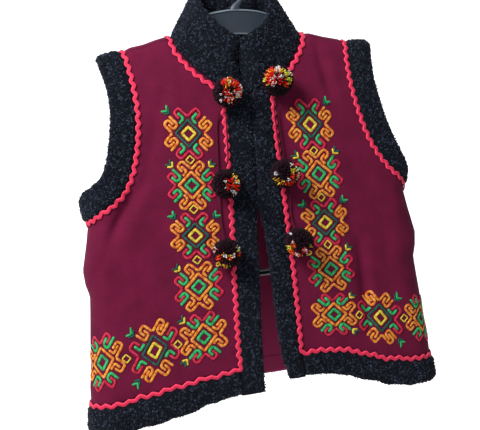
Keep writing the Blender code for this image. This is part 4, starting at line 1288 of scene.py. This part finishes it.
# ---------------------------------------------------------------- rickrack
# Section of the braid: share of its half width, share of its thickness.
BRAID_SECTION = [
    (-1.0, 0.1), (-0.82, 0.72), (-0.38, 1.0), (0.38, 1.0), (0.82, 0.72), (1.0, 0.1),
    (0.5, -0.15), (-0.5, -0.15),
]
BRAID_LEAN = 0.55
BRAID_CREST = 0.12  # share of a wave of a third of the length, which sharpens the crests
BRAID_SHORT = 0.6  # the hem braids end this far short of the side seam
BACK_LIFT = 0.6  # the back's hem braid lies this much higher than the others


def even_line(places, normals, step, closed=False):
    """Places, normals and lengths at equal steps along a traced line."""
    if closed:
        places = np.concatenate([places, places[:1]])
        normals = np.concatenate([normals, normals[:1]])
    at = run_along(places)
    cells = max(3, round(at[-1] / step))
    here = np.linspace(0, at[-1], cells + 1)
    if closed:
        here = here[:-1]
    placed = np.stack([np.interp(here, at, places[:, k]) for k in range(3)], 1)
    turned = unit(np.stack([np.interp(here, at, normals[:, k]) for k in range(3)], 1))
    return placed, turned, here, at[-1]


def braid(node, runs, closed, waves, lift=RICK_LIFT, corner=None):
    """Rickrack: a flat braid that swings from side to side of a line on the cloth.

    waves gives the length of a wave before and after the corner, or all along."""
    places, normals = [], []
    for line, face in runs:
        fine = smooth(np.array(line), 12)
        places.append(surface(fine[:, 0], fine[:, 1], face))
        normals.append(outward(fine[:, 0], fine[:, 1], face))
    places, normals, here, total = even_line(
        np.concatenate(places), np.concatenate(normals), RICK_STEP, closed
    )
    split = total
    if corner is not None:
        split = here[np.argmin(np.linalg.norm(places - corner, axis=1))]
    before = 2 * math.pi * round(split / waves[0])
    phase = before * np.minimum(here, split) / split
    if split < total:
        after = math.pi * round(2 * (total - split) / waves[1])
        phase = phase + after * np.maximum(here - split, 0.0) / (total - split)
    rate = np.gradient(phase, total / len(here))
    along = directions(places, closed, 2)
    across = unit(np.cross(normals, along))
    swing = -RICK_SWING * (np.cos(phase) + BRAID_CREST * np.cos(3 * phase))
    slope = RICK_SWING * np.sin(phase) * rate * BRAID_LEAN
    span = unit(across - along * slope[:, None])
    centre = places + across * swing[:, None]
    rows, uv = [], []
    for w, height in BRAID_SECTION:
        rise = lift + RICK_THICK * height
        rows.append(centre + span * (w * RICK_HALF) + normals * rise)
        uv.append(np.stack([here, np.full(len(here), w * RICK_HALF)], 1))
    sections = np.stack(rows, 1)
    points, blocks = wrapped(sections, closed)
    uv = np.stack(uv, 1).reshape(-1, 2)
    made = add_mesh("rickrack_" + node, points, blocks, [BRAID_LOOK], uv=uv)
    BRAIDS[node] = place(made, "rickrack", node)


def neck_braid_line(side, rows, face):
    """Braid line on the cloth beside the neck seam."""
    line = []
    for x, down in rows:
        out = x / NECK_HALF
        shift_x = NECK_OUT * (0.55 + 0.45 * out) * (1.0 if face == FRONT else out)
        shift_down = NECK_OUT * (1 - out**2) ** 0.5
        line.append(to_cloth(side * (x + shift_x), down + shift_down))
    line[-1][1] = 0.0
    return line


BRAIDS = {}
for side, word in SIDES:
    front_run, back_run = armhole_lines(side, FRONT)[0], armhole_lines(side, BACK)[0]
    runs = [(front_run, FRONT), (back_run[::-1], BACK)]
    braid("armhole_braid_" + word, runs, True, (RICK_WAVES["armhole"],))
    down_line, across_line = front_seam_line(side), hem_seam_line(side)
    down_line[1] = down_line[1] * 0.35 + down_line[0] * 0.65
    across_line[-1] = across_line[-1] - (side * BRAID_SHORT, 0.0)
    line = chain(down_line[1:], across_line)
    corner = surface(*across_line[0], FRONT)
    waves = (RICK_WAVES["front"], RICK_WAVES["hem_" + word])
    braid("front_braid_" + word, [(line, FRONT)], False, waves, corner=corner)

back_run = back_line(HEM_BAND)
back_run[0] = back_run[0] + (BRAID_SHORT, 0.0)
back_run[-1] = back_run[-1] - (BRAID_SHORT, 0.0)
braid("hem_braid_back", [(back_run, BACK)], False, (RICK_WAVES["hem_back"],), RICK_LIFT + BACK_LIFT)
across_back = neck_braid_line(1, NECK_BACK[1:], BACK)[::-1] + neck_braid_line(-1, NECK_BACK[1:], BACK)
neck_runs = [
    (neck_braid_line(1, NECK_FRONT, FRONT), FRONT),
    (across_back, BACK),
    (neck_braid_line(-1, NECK_FRONT, FRONT)[::-1], FRONT),
]
braid("collar_braid", neck_runs, False, (RICK_WAVES["neck"],))

# ---------------------------------------------------------------- embroidery
# Lines of one motif's upper left quarter, mirrored to the other three: mm towards the
# lower right corner of its square, mm towards the upper right one.
SIDE_HOOK = [(-14.5, -14.5), (-29.6, -14.5), (-29.6, -6.3), (-20.0, -6.3)]
SIDE_HOOK_IN = [(-25.5, -10.2), (-16.8, -10.2), (-16.8, -2.0), (-31.6, -2.0)]
END_HOOK = [(-14.5, 14.5), (-30.0, 14.0), (-30.0, 5.0), (-20.0, 4.5)]
END_HOOK_IN = [(-26.3, 8.6), (-16.5, 9.0), (-16.3, 0.6)]
# Motif kind: outer diamond corner, stroke, thread; inner thread; side hooks; end hooks.
MOTIFS = {
    "A": (16.2, 3.5, "teal", "yellow", ("orange", "orange"), ("pink", "green")),
    "B": (16.9, 4.3, "orange", "green", ("pink", "green"), ("orange", "orange")),
}
# Chevrons: distance of the vertex from the motif's centre along the diagonal, arm.
CHEVRONS = ((33.6, 6.9), (37.4, 7.1))
CHEVRON_THREADS = {"A": ("teal", "green"), "B": ("yellow", "teal")}
INNER_DIAMOND = 8.3
STROKE = 4.2
INNER_STROKE = 4.0
CHEVRON_STROKE = 3.1
STROKE_HIGH = 1.3
# Front: x, down, kind, turned, the chart's step to the right (x, down) and downwards
# (x, down) as the cloth hangs, corners with chevrons (x sign, down sign).
CHART = {
    "left": [
        (-82.1, 117.6, "A", False, (0.98, 0.09, -0.06, 1.05), [(-1, -1)]),
        (-84.9, 183.2, "B", False, (0.98, 0.08, -0.05, 0.99), [(-1, -1), (1, -1)]),
        (-86.8, 247.3, "A", False, (1.02, 0.09, -0.04, 0.95), [(-1, -1), (1, -1)]),
        (-89.2, 312.6, "B", False, (1.01, -0.02, -0.06, 0.99), [(-1, -1), (1, -1)]),
        (-89.4, 378.5, "B", True, (0.99, -0.09, -0.03, 1.02), [(-1, -1), (-1, 1)]),
        (-153.1, 387.7, "A", True, (1.01, -0.27, 0.02, 1.20), [(-1, -1), (-1, 1)]),
        (-219.5, 397.0, "B", True, (1.00, -0.28, 0.02, 1.14), []),
    ],
    "right": [
        (79.0, 119.9, "A", False, (1.00, 0.05, 0.02, 1.09), [(1, -1)]),
        (83.9, 185.5, "B", False, (1.04, -0.01, 0.07, 1.03), [(-1, -1), (1, -1)]),
        (86.5, 249.7, "A", False, (1.06, 0.01, 0.01, 1.00), [(-1, -1), (1, -1)]),
        (88.7, 312.0, "B", False, (1.06, 0.01, 0.05, 0.97), [(-1, -1), (1, -1)]),
        (87.9, 373.1, "B", True, (1.02, 0.10, 0.01, 0.91), [(1, -1), (1, 1)]),
        (154.3, 387.8, "A", True, (1.03, 0.27, 0.01, 1.15), [(1, -1), (1, 1)]),
        (219.5, 400.0, "B", True, (1.00, 0.24, 0.01, 1.05), []),
    ],
}
SMALL_DIAMONDS = {
    "left": [(-83.6, 151.0), (-85.8, 213.7), (-88.1, 278.2), (-123.4, 383.4), (-189.7, 394.1)],
    "right": [(80.2, 154.3), (84.1, 216.4), (87.2, 279.1), (124.0, 379.5), (190.0, 394.0)],
}
SMALL_REACH = 5.4
SMALL_STROKE = 2.1
# Section of a stroke: share of its half width, share of its height.
STROKE_SECTION = [(-1.0, -0.3), (-0.88, 0.5), (-0.4, 0.95), (0.4, 0.95), (0.88, 0.5), (1.0, -0.3)]


def rounded(points, radius, closed):
    """A line with its corners turned along short arcs, at steps of about a millimetre."""
    points = np.array(points, float)
    count = len(points)
    made = []
    for k in range(count):
        if not closed and k in (0, count - 1):
            made.append(points[k])
            continue
        before, after = points[k - 1], points[(k + 1) % count]
        sides = [np.linalg.norm(before - points[k]), np.linalg.norm(after - points[k])]
        reach = min(radius, 0.45 * sides[0], 0.45 * sides[1])
        start = points[k] + unit(before - points[k]) * reach
        end = points[k] + unit(after - points[k]) * reach
        for t in np.linspace(0, 1, 6):
            made.append(start * (1 - t) ** 2 + points[k] * 2 * t * (1 - t) + end * t**2)
    if closed:
        made.append(made[0])
    made = np.array(made)
    line = resample(made, max(4, round(run_along(made)[-1])))
    return line[:-1] if closed else line


class Stitches:
    """Satin stitch lines gathered into one piece."""

    def __init__(self, seed):
        self.rng = np.random.default_rng(seed)
        self.points, self.blocks, self.slots, self.uv = [], [], [], []
        self.count = 0

    def stroke(self, line, centre, width, thread, closed=False, radius=3.6):
        line = np.array(line, float) + self.rng.normal(0.0, 0.16, (len(line), 2))
        line = rounded(line, radius, closed)
        along = directions(line, closed)
        across = np.stack([-along[:, 1], along[:, 0]], 1)
        amount = len(line)
        swell = 1.0 + 0.07 * np.sin(np.arange(amount) * 0.9 + self.rng.random() * 6)
        if not closed:
            # The ends of a line are rounded off.
            reach = np.minimum(np.arange(amount), np.arange(amount)[::-1]) + 0.35
            swell = swell * np.sqrt(np.clip(reach / 1.7, 0.0, 1.0))
        rows, heights, uv = [], [], []
        run = np.arange(amount) + self.rng.random() * 50
        for w, height in STROKE_SECTION:
            rows.append(centre + line + across * (w * width / 2 * swell)[:, None])
            heights.append(height * STROKE_HIGH * swell)
            uv.append(np.stack([run, np.full(amount, w)], 1))
        rows = np.stack(rows, 1)
        # The chart follows the cloth's straight grain, though the shoulder slopes.
        seen = surface(rows[..., 0], rows[..., 1], FRONT)[..., 0]
        rows[..., 1] += ridge(surface(*centre, FRONT)[0]) - ridge(seen)
        sections = lifted(rows, FRONT, np.stack(heights, 1))
        points, blocks = wrapped(sections, closed)
        slot = list(THREADS).index(thread)
        for block in blocks:
            self.blocks.append(block + self.count)
            self.slots.append(np.full(len(block), slot))
        self.points.append(points)
        self.uv.append(np.stack(uv, 1).reshape(-1, 2))
        self.count += len(points)

    def finished(self, name):
        # The slots are in the order of the blocks.
        return add_mesh(
            name, np.concatenate(self.points), self.blocks, list(THREAD_LOOKS.values()),
            uv=np.concatenate(self.uv), slots=np.concatenate(self.slots), keep=True,
        )


def sew_motif(work, centre, kind, turned, steps, corners):
    corner, stroke, outer_thread, inner_thread, side_threads, end_threads = MOTIFS[kind]
    right_x, right_down, low_x, low_down = steps

    def hung(points):
        return [(x * right_x + y * low_x, x * right_down + y * low_down) for x, y in points]

    def turn(points):
        return hung([(y, x) for x, y in points] if turned else points)

    diamond = [(-1, 0), (0, -1), (1, 0), (0, 1)]
    outer = [(corner * x, corner * y) for x, y in diamond]
    work.stroke(turn(outer), centre, stroke, outer_thread, True, 1.2)
    inner = [(INNER_DIAMOND * x, INNER_DIAMOND * y) for x, y in diamond]
    work.stroke(turn(inner), centre, INNER_STROKE, inner_thread, True, 0.7)
    for mirror_x in (-1, 1):
        for mirror_y in (-1, 1):
            for rows, thread in (
                (SIDE_HOOK, side_threads[0]),
                (SIDE_HOOK_IN, side_threads[1]),
                (END_HOOK, end_threads[0]),
                (END_HOOK_IN, end_threads[1]),
            ):
                line = []
                for a, b in rows:
                    line.append((-mirror_x * (a + b) / math.sqrt(2), -mirror_y * (a - b) / math.sqrt(2)))
                work.stroke(turn(line), centre, STROKE, thread)
    for sign_x, sign_y in corners:
        for (reach, arm), thread in zip(CHEVRONS, CHEVRON_THREADS[kind]):
            near = reach / math.sqrt(2)
            rows = [(near, near + arm), (near, near), (near + arm, near)]
            line = hung([(sign_x * x, sign_y * y) for x, y in rows])
            work.stroke(line, centre, CHEVRON_STROKE, thread, False, 1.0)


for number, (side, word) in enumerate(SIDES):
    work = Stitches(61 + number)
    for x, down, *motif in CHART[word]:
        sew_motif(work, to_cloth(x, down), *motif)
    for x, down in SMALL_DIAMONDS[word]:
        reach = SMALL_REACH
        rows = [(-reach, 0), (0, -reach), (reach, 0), (0, reach)]
        work.stroke(rows, to_cloth(x, down), SMALL_STROKE, "yellow", True, 0.5)
    PANELS["embroidery_" + word] = place(work.finished("embroidery_" + word), "cloth")

# Pieces sewn onto each panel.
SEWN_ON = {
    word: [
        PANELS["embroidery_" + word], BOUCLE["front_band_" + word], BOUCLE["hem_band_" + word],
        BRAIDS["front_braid_" + word],
    ]
    for side, word in SIDES
}
SEWN_ON["back"] = [BOUCLE["hem_band_back"], BOUCLE["collar"]]
SEWN_ON["back"] += [BRAIDS["hem_braid_back"], BRAIDS["collar_braid"]]
for side, word in SIDES:
    SEWN_ON["back"] += [BOUCLE["armhole_band_" + word], BRAIDS["armhole_braid_" + word]]

# ---------------------------------------------------------------- pompoms
STRANDS = 1400
STRAND_R = 0.66
STRAND_ROOT = 5.0
# Share of a strand's length, share of its thickness there.
STRAND_SHAPE = ((0.0, 0.45), (0.62, 0.85), (0.94, 1.1), (1.0, 0.75))
POMPOM_FULL = {"pompom_neck_right": 1.10}
CORE_SHARE = 0.72  # radius of the dark core as a share of the pompom's
PATCH_YAW = CAMERA_YAW
DARK_YARNS = ("dark", "dark", "dark", "burgundy")
HOT = ("red", "red", "red", "orange", "dark")
MIXED = ("red", "dark", "orange", "white", "red")
# Pompom, patches: yarns, place of its middle to the right and up as shares of the
# radius, seen from a little to the left of the front, and its reach in degrees.
PATCHES = {
    "pompom_neck_left": [
        (HOT, -0.05, 0.72, 22),
        (HOT, 0.45, 0.62, 24),
        (HOT, 0.72, 0.22, 22),
        (("red", "white", "orange"), 0.80, -0.20, 18),
        (("white", "orange", "dark"), 0.20, 0.95, 13),
        (("white", "red"), 0.94, 0.25, 13),
        (("yellow", "lime", "white"), 0.16, 0.76, 7),
        (("yellow", "lime", "red"), 0.06, 0.50, 7),
        (("lime", "yellow", "white"), -0.08, 0.25, 6),
        (("red",), -0.10, 0.00, 12),
        (("dark",), 0.24, 0.13, 13),
        (MIXED, 0.05, -0.42, 24),
        (("white",), -0.50, -0.19, 7),
        (("white",), -0.57, -0.57, 7),
        (("white", "yellow"), 0.60, -0.40, 8),
    ],
    "pompom_neck_right": [
        (("red", "orange", "yellow", "red"), -0.48, 0.52, 28),
        (("red", "red", "red", "white"), -0.32, -0.02, 27),
        (("red", "red", "orange"), 0.39, -0.36, 15),
        (("red", "dark"), 0.06, -0.24, 12),
        (("white",), 0.03, 0.80, 10),
        (("white", "orange"), 0.10, 0.50, 8),
        (("white",), 0.20, 0.20, 8),
        (("dark",), -0.09, 0.42, 9),
        (("yellow", "orange", "burgundy"), 0.36, 0.62, 12),
        (("yellow", "lime"), 0.56, 0.42, 10),
        (("lime", "yellow"), 0.70, 0.10, 11),
        (("lime", "yellow"), 0.78, -0.18, 10),
        (("white", "yellow"), 0.86, 0.38, 9),
        (("lime", "yellow"), -0.92, 0.10, 8),
        (("lime", "red"), -0.80, -0.24, 8),
        (("dark",), 0.00, -0.80, 30),
        (("dark",), -0.60, -0.60, 18),
    ],
    "pompom_mid_left": [
        (HOT, 0.25, 0.20, 18),
        (HOT, 0.32, -0.15, 18),
        (("lime", "yellow", "red"), 0.66, 0.48, 11),
        (("yellow", "red", "white"), 0.80, 0.18, 12),
        (("orange", "red", "red"), 0.73, -0.27, 13),
        (("white",), -0.07, 0.27, 7),
        (("white", "red"), 0.07, -0.22, 8),
        (("white", "dark"), 0.32, -0.55, 10),
        (("white", "dark"), 0.58, -0.70, 11),
    ],
    "pompom_mid_right": [
        (("white",), -0.72, 0.07, 8),
        (("yellow", "orange", "dark"), -0.66, -0.48, 15),
        (("yellow", "orange", "dark"), -0.30, -0.62, 13),
        (("white",), 0.50, 0.64, 8),
        (("red",), 0.70, 0.62, 10),
        (("yellow",), 0.52, 0.22, 10),
        (("yellow", "white"), 0.88, 0.26, 13),
        (("yellow", "white", "red"), 0.88, -0.28, 13),
        (HOT, 0.20, -0.68, 14),
        (HOT, 0.48, -0.62, 14),
        (("white",), 0.17, -0.40, 8),
        (("red", "orange"), 0.45, -0.20, 10),
    ],
    "pompom_low_left": [
        (("white", "red", "dark"), -0.87, 0.42, 15),
        (("red", "orange"), -0.63, -0.20, 13),
        (("yellow", "orange"), -0.63, -0.60, 11),
        (("red", "dark"), -0.40, -0.12, 11),
        (("yellow", "orange"), -0.26, 0.02, 9),
        (("yellow", "red"), 0.23, -0.14, 10),
        (("white",), -0.10, -0.07, 8),
        (("white", "orange"), 0.50, -0.08, 9),
        (("white", "lime", "dark"), 0.86, 0.28, 15),
        (("red", "orange"), 0.90, -0.02, 10),
        (("orange", "yellow", "dark"), -0.20, -0.85, 14),
    ],
    "pompom_low_right": [
        (("white",), -0.58, 0.75, 8),
        (("white", "dark"), -0.64, 0.42, 8),
        (("white", "red"), -0.50, 0.18, 8),
        (("red", "orange"), -0.50, -0.08, 10),
        (("lime", "yellow"), -0.80, -0.27, 11),
        (("orange", "red"), -0.62, -0.60, 15),
        (("orange", "red", "white"), -0.18, -0.84, 16),
        (("white", "red"), 0.30, -0.48, 12),
        (("red", "white"), 0.52, -0.68, 11),
        (("yellow", "dark"), 0.80, -0.25, 9),
    ],
}


def pompom(name, centre, rng):
    """A ball of cut yarn ends round a dark core."""
    k = np.arange(STRANDS) + 0.5
    height = 1 - 2 * k / STRANDS
    turn = math.pi * (1 + math.sqrt(5)) * k
    flat = np.sqrt(1 - height**2)
    aims = np.stack([flat * np.cos(turn), flat * np.sin(turn), height], 1)
    aims = unit(aims + rng.normal(0, 0.045, aims.shape))
    slots = rng.choice([list(YARNS).index(yarn) for yarn in DARK_YARNS], STRANDS)
    for yarns, right, up, reach in PATCHES[name]:
        near = math.sqrt(max(1.0 - right**2 - up**2, 0.0))
        ahead = (-math.sin(PATCH_YAW), -math.cos(PATCH_YAW))
        middle = (near * ahead[0] - right * ahead[1], near * ahead[1] + right * ahead[0], -up)
        middle = unit(np.array(middle))
        far = np.degrees(np.arccos(np.clip(aims @ middle, -1, 1)))
        inside = far < reach * rng.uniform(0.85, 1.35, STRANDS)
        choice = rng.choice([list(YARNS).index(yarn) for yarn in yarns], STRANDS)
        slots = np.where(inside, choice, slots)
    sideways = unit(np.cross(aims, unit(rng.normal(size=aims.shape))))
    other = np.cross(aims, sideways)
    top = POMPOM_R * POMPOM_FULL.get(name, 1.04) * rng.uniform(0.93, 1.05, STRANDS)
    thick = STRAND_R * rng.uniform(0.85, 1.2, STRANDS)
    rows = []
    for share, swell in STRAND_SHAPE:
        radius = STRAND_ROOT + (top - STRAND_ROOT) * share
        lean = 0.9 * share**2
        spine = aims * radius[:, None] + sideways * lean
        ring = []
        for corner in range(3):
            angle = 2 * math.pi * corner / 3
            out = sideways * math.cos(angle) + other * math.sin(angle)
            ring.append(spine + out * (thick * swell)[:, None])
        rows.append(np.stack(ring, 1))
    points = np.stack(rows, 1).reshape(STRANDS, -1, 3)
    sides, caps = tuft_faces(STRANDS, len(STRAND_SHAPE))
    core_sides, core_rings = 16, 9
    tilt = np.linspace(0.06, math.pi - 0.06, core_rings)
    spin = 2 * math.pi * np.arange(core_sides) / core_sides
    core = np.stack([
        np.outer(np.sin(tilt), np.cos(spin)),
        np.outer(np.sin(tilt), np.sin(spin)),
        np.outer(np.cos(tilt), np.ones(core_sides)),
    ], 2) * (CORE_SHARE * POMPOM_R)
    core_points, core_blocks = wrapped(core, False)
    points = points.reshape(-1, 3)
    blocks = [sides, caps] + [block + len(points) for block in core_blocks]
    slot_of = [np.repeat(slots, len(block) // STRANDS) for block in (sides, caps)]
    slot_of += [np.zeros(len(block)) for block in core_blocks]
    points = np.concatenate([points, core_points]) + np.array(centre)
    made = add_mesh(
        "yarn_" + name, points, blocks, list(YARN_LOOKS.values()), slots=np.concatenate(slot_of), keep=True,
    )
    return place(made, "pompom", name)


CENTRES = {}
for number, (name, x, y, down) in enumerate(POMPOMS):
    CENTRES[name] = np.array([x, y, down], float)
    pompom(name, (x, y, down), np.random.default_rng(71 + number))

# ---------------------------------------------------------------- cords
PLY_R = 0.56
PLY_TWIST = 5.5
CORD_STEP = 0.8
CORD_END_AIM = (0.0, 9.0, -14.0)  # way from the lower pompom's centre to the cord's end


def cord_path(upper_name, lower_name, upper_reach, guides):
    line = []
    for x, clear, down in guides:
        line.append(surface(*to_cloth(x, down), FRONT) - (0.0, clear, 0.0))
    above, below = CENTRES[upper_name], CENTRES[lower_name]
    start = above + unit(line[0] - above) * upper_reach
    finish = below + unit(np.array(CORD_END_AIM)) * CORD_LOW_REACH
    fine = smooth([start] + line + [finish], 12)
    length = run_along(fine)[-1]
    return resample(fine, round(length / CORD_STEP)), length


def cord_piece(name, upper_name, lower_name, upper_reach, guides):
    """A cord of two plies twisted round each other."""
    path, length = cord_path(upper_name, lower_name, upper_reach, guides)
    along = directions(path)
    side = unit(np.cross(along, (0.0, 1.0, 0.0)))
    over = np.cross(along, side)
    turn = 2 * math.pi * np.arange(len(path)) * CORD_STEP / PLY_TWIST
    points, blocks = [], []
    for ply in range(2):
        angle = turn + math.pi * ply
        offset = 0.5 * CORD_R * (side * np.cos(angle)[:, None] + over * np.sin(angle)[:, None])
        rows = []
        for k in range(6):
            round_angle = 2 * math.pi * k / 6
            out = side * math.cos(round_angle) + over * math.sin(round_angle)
            rows.append(path + offset + out * PLY_R)
        made, faces = wrapped(np.stack(rows, 1), False)
        blocks += [block + sum(len(p) for p in points) for block in faces]
        points.append(made)
    made = add_mesh("twisted_" + name, np.concatenate(points), blocks, [CORD_LOOK], keep=True)
    place(made, "cord", name)


for row in CORDS:
    cord_piece(*row)

# ---------------------------------------------------------------- hanger
HOOK_SIDES = 16
RIM_CORNERS = (0, 4, 6, 10)
HOOK_ROOT = 4.5


def eased(corners, radius):
    """Sections whose corners are turned along short curves."""
    before, after = np.roll(corners, 1, axis=1), np.roll(corners, -1, axis=1)
    back = np.linalg.norm(before - corners, axis=2, keepdims=True)
    ahead = np.linalg.norm(after - corners, axis=2, keepdims=True)
    reach = np.minimum(radius, 0.45 * np.minimum(back, ahead))
    start, end = corners + unit(before - corners) * reach, corners + unit(after - corners) * reach
    made = [start, (start + corners * 2 + end) / 4, end]
    return np.stack(made, 2).reshape(len(corners), -1, 3)


def beam(rows, flange, thin):
    """Beam with a rim above and below a thin web: x, top and low side of each section."""
    half, web, rim = flange / 2, thin / 2, HANGER_RIM
    sections = []
    for x, top, low in rows:
        right = [
            (half - 2.8, top),
            (half, top + rim),
            (web, top + rim + 0.8),
            (web, low - rim - 0.8),
            (half * 0.8, low - rim),
            (half * 0.8, low),
        ]
        left = [(-y, down) for y, down in reversed(right)]
        sections.append([(x, y, down) for y, down in right + left])
    return eased(np.array(sections), 0.7)


def strut(x):
    rows = []
    for down in (-3.4, HANGER_BAR_TOP + 1.3):
        rows.append([(x + 3, 2.2, down), (x + 3, -2.2, down), (x - 3, -2.2, down), (x - 3, 2.2, down)])
    return eased(np.array(rows, float), 0.8)


def hook_tube():
    ring = HOOK_INNER + HOOK_R
    centre_down = -HOOK_RISE + HOOK_INNER
    path = list(HOOK_STEM)
    for degrees in range(-25, 206, 14):
        angle = math.radians(degrees)
        path.append((ring * math.cos(angle), centre_down - ring * math.sin(angle)))
    path = smooth(path, 3)
    along = directions(path)
    across = np.stack([along[:, 1], np.zeros(len(along)), -along[:, 0]], 1)
    spine = np.stack([path[:, 0], np.zeros(len(path)), path[:, 1]], 1)
    # The stem spreads where it grows out of the arms.
    spread = HOOK_R + HOOK_ROOT * np.exp(-((np.arange(len(path)) / 4.0) ** 2))
    rows = []
    for k in range(HOOK_SIDES):
        angle = 2 * math.pi * k / HOOK_SIDES
        flat = across * (spread * math.cos(angle))[:, None]
        rows.append(spine + flat + np.array([0.0, HOOK_R * math.sin(angle), 0.0]))
    return np.stack(rows, 1)


def arm_rows(side):
    rows = [(side * x, top, low) for x, top, low in HANGER_ARM]
    for x in HANGER_OUTER:
        top = float(ridge(side * x)) + HANGER_CLEAR
        high = HANGER_ARM_HIGH - 4.5 * max(0.0, (x - 150) / 26)
        rows.append((side * x, top, top + high))
    tip = float(ridge(side * 181.0)) + HANGER_CLEAR + 3.5
    rows.append((side * 181.0, tip, tip + 6.5))
    return rows


bar_rows = [(x, HANGER_BAR_TOP, HANGER_BAR_LOW) for x in (-HANGER_BAR_HALF, HANGER_BAR_HALF)]
hanger_parts = [
    beam(smooth(arm_rows(-1)[::-1] + arm_rows(1)[1:], 3), HANGER_FLANGE, HANGER_ARM_WEB),
    beam(bar_rows, HANGER_BAR_FLANGE, HANGER_BAR_WEB),
    strut(-HANGER_STRUT_X),
    strut(HANGER_STRUT_X),
    hook_tube(),
]
points, blocks, slots = [], [], []
for part, rim_highlight in zip(hanger_parts, (1, 2, 0, 0, 0)):
    made, faces = wrapped(part, False)
    flipped = np.cross(made[faces[0][:, 0]], made[faces[0][:, 1]])
    outwards = np.einsum("ij,ij->", flipped, made[faces[0][:, 2]])
    blocks += [(block if outwards < 0 else block[:, ::-1]) + sum(len(p) for p in points) for block in faces]
    # Both rims' outer faces take a lighter plastic, a painted highlight.
    corner_of = np.arange(len(faces[0])) % part.shape[1] // 3
    slots.append(np.where(np.isin(corner_of, RIM_CORNERS), rim_highlight, 0))
    slots += [np.zeros(len(block), int) for block in faces[1:]]
    points.append(made)
hanger = add_mesh(
    "hanger_moulding", np.concatenate(points), blocks, list(PLASTIC_LOOKS), slots=np.concatenate(slots),
)
place(hanger, "hanger", "hanger")

# ---------------------------------------------------------------- camera, light, floor


def set_camera():
    forward = Vector((
        math.sin(CAMERA_YAW) * math.cos(CAMERA_PITCH),
        math.cos(CAMERA_YAW) * math.cos(CAMERA_PITCH),
        -math.sin(CAMERA_PITCH),
    ))
    level = Vector((math.cos(CAMERA_YAW), -math.sin(CAMERA_YAW), 0.0))
    above = level.cross(forward)
    right = level * math.cos(CAMERA_ROLL) + above * math.sin(CAMERA_ROLL)
    up = above * math.cos(CAMERA_ROLL) - level * math.sin(CAMERA_ROLL)
    data = bpy.data.cameras.new("camera")
    data.lens = CAMERA_LENS
    data.sensor_width = 36.0
    data.sensor_fit = "HORIZONTAL"
    data.clip_start = 0.01
    data.clip_end = 50.0
    camera = bpy.data.objects.new("camera", data)
    bpy.context.scene.collection.objects.link(camera)
    turn = Matrix((right, up, -forward)).transposed().to_4x4()
    camera.matrix_world = Matrix.Translation(CAMERA_PLACE) @ turn
    bpy.context.scene.camera = camera


def add_light(name, place_at, aim, size, power, colour=(1.0, 1.0, 1.0)):
    data = bpy.data.lights.new(name, "AREA")
    data.size = size
    data.energy = power
    data.color = colour
    lamp = bpy.data.objects.new(name, data)
    lamp.location = place_at
    lamp.rotation_mode = "QUATERNION"
    lamp.rotation_quaternion = (Vector(aim) - Vector(place_at)).to_track_quat("-Z", "Y")
    bpy.context.scene.collection.objects.link(lamp)


def stage_plane(name, corners, look, roughness, grey, glow=0.0):
    mesh = bpy.data.meshes.new(name)
    mesh.from_pydata(corners, [], [(0, 1, 2, 3)])
    plane = bpy.data.objects.new(name, mesh)
    bpy.context.scene.collection.objects.link(plane)
    made, _, shader = new_look(look, roughness)
    shader.inputs["Base Color"].default_value = (grey, grey, grey, 1.0)
    if glow:
        shader.inputs["Emission Color"].default_value = (1.0, 1.0, 1.0, 1.0)
        shader.inputs["Emission Strength"].default_value = glow
    mesh.materials.append(made)
    return plane


def set_stage():
    world = bpy.data.worlds.new("studio")
    world.use_nodes = True
    sky = world.node_tree.nodes.get("Background")
    sky.inputs["Color"].default_value = (1.0, 1.0, 1.0, 1.0)
    sky.inputs["Strength"].default_value = 0.37
    bpy.context.scene.world = world
    bpy.context.scene.view_settings.view_transform = "Standard"
    span, end, level = 2.0, 0.9, -1.6
    corners = [(-span, -span, level), (span, -span, level), (span, end, level), (-span, end, level)]
    floor = stage_plane("floor", corners, "pale_floor", 0.9, 0.85)
    wide, deep, low, high = 3.2, 2.6, -2.6, 1.9
    corners = [(-wide, deep, low), (wide, deep, low), (wide, deep, high), (-wide, deep, high)]
    wall = stage_plane("white_wall", corners, "white_wall", 1.0, 0.9, 0.9)
    aim = (0.0, -0.03, -0.38)
    add_light("key", (-1.25, -1.10, 1.02), aim, 0.8, 64.0, (1.0, 0.985, 0.97))
    add_light("back_fill", (0.6, 1.8, 0.5), aim, 1.4, 20.0)


set_camera()
set_stage()
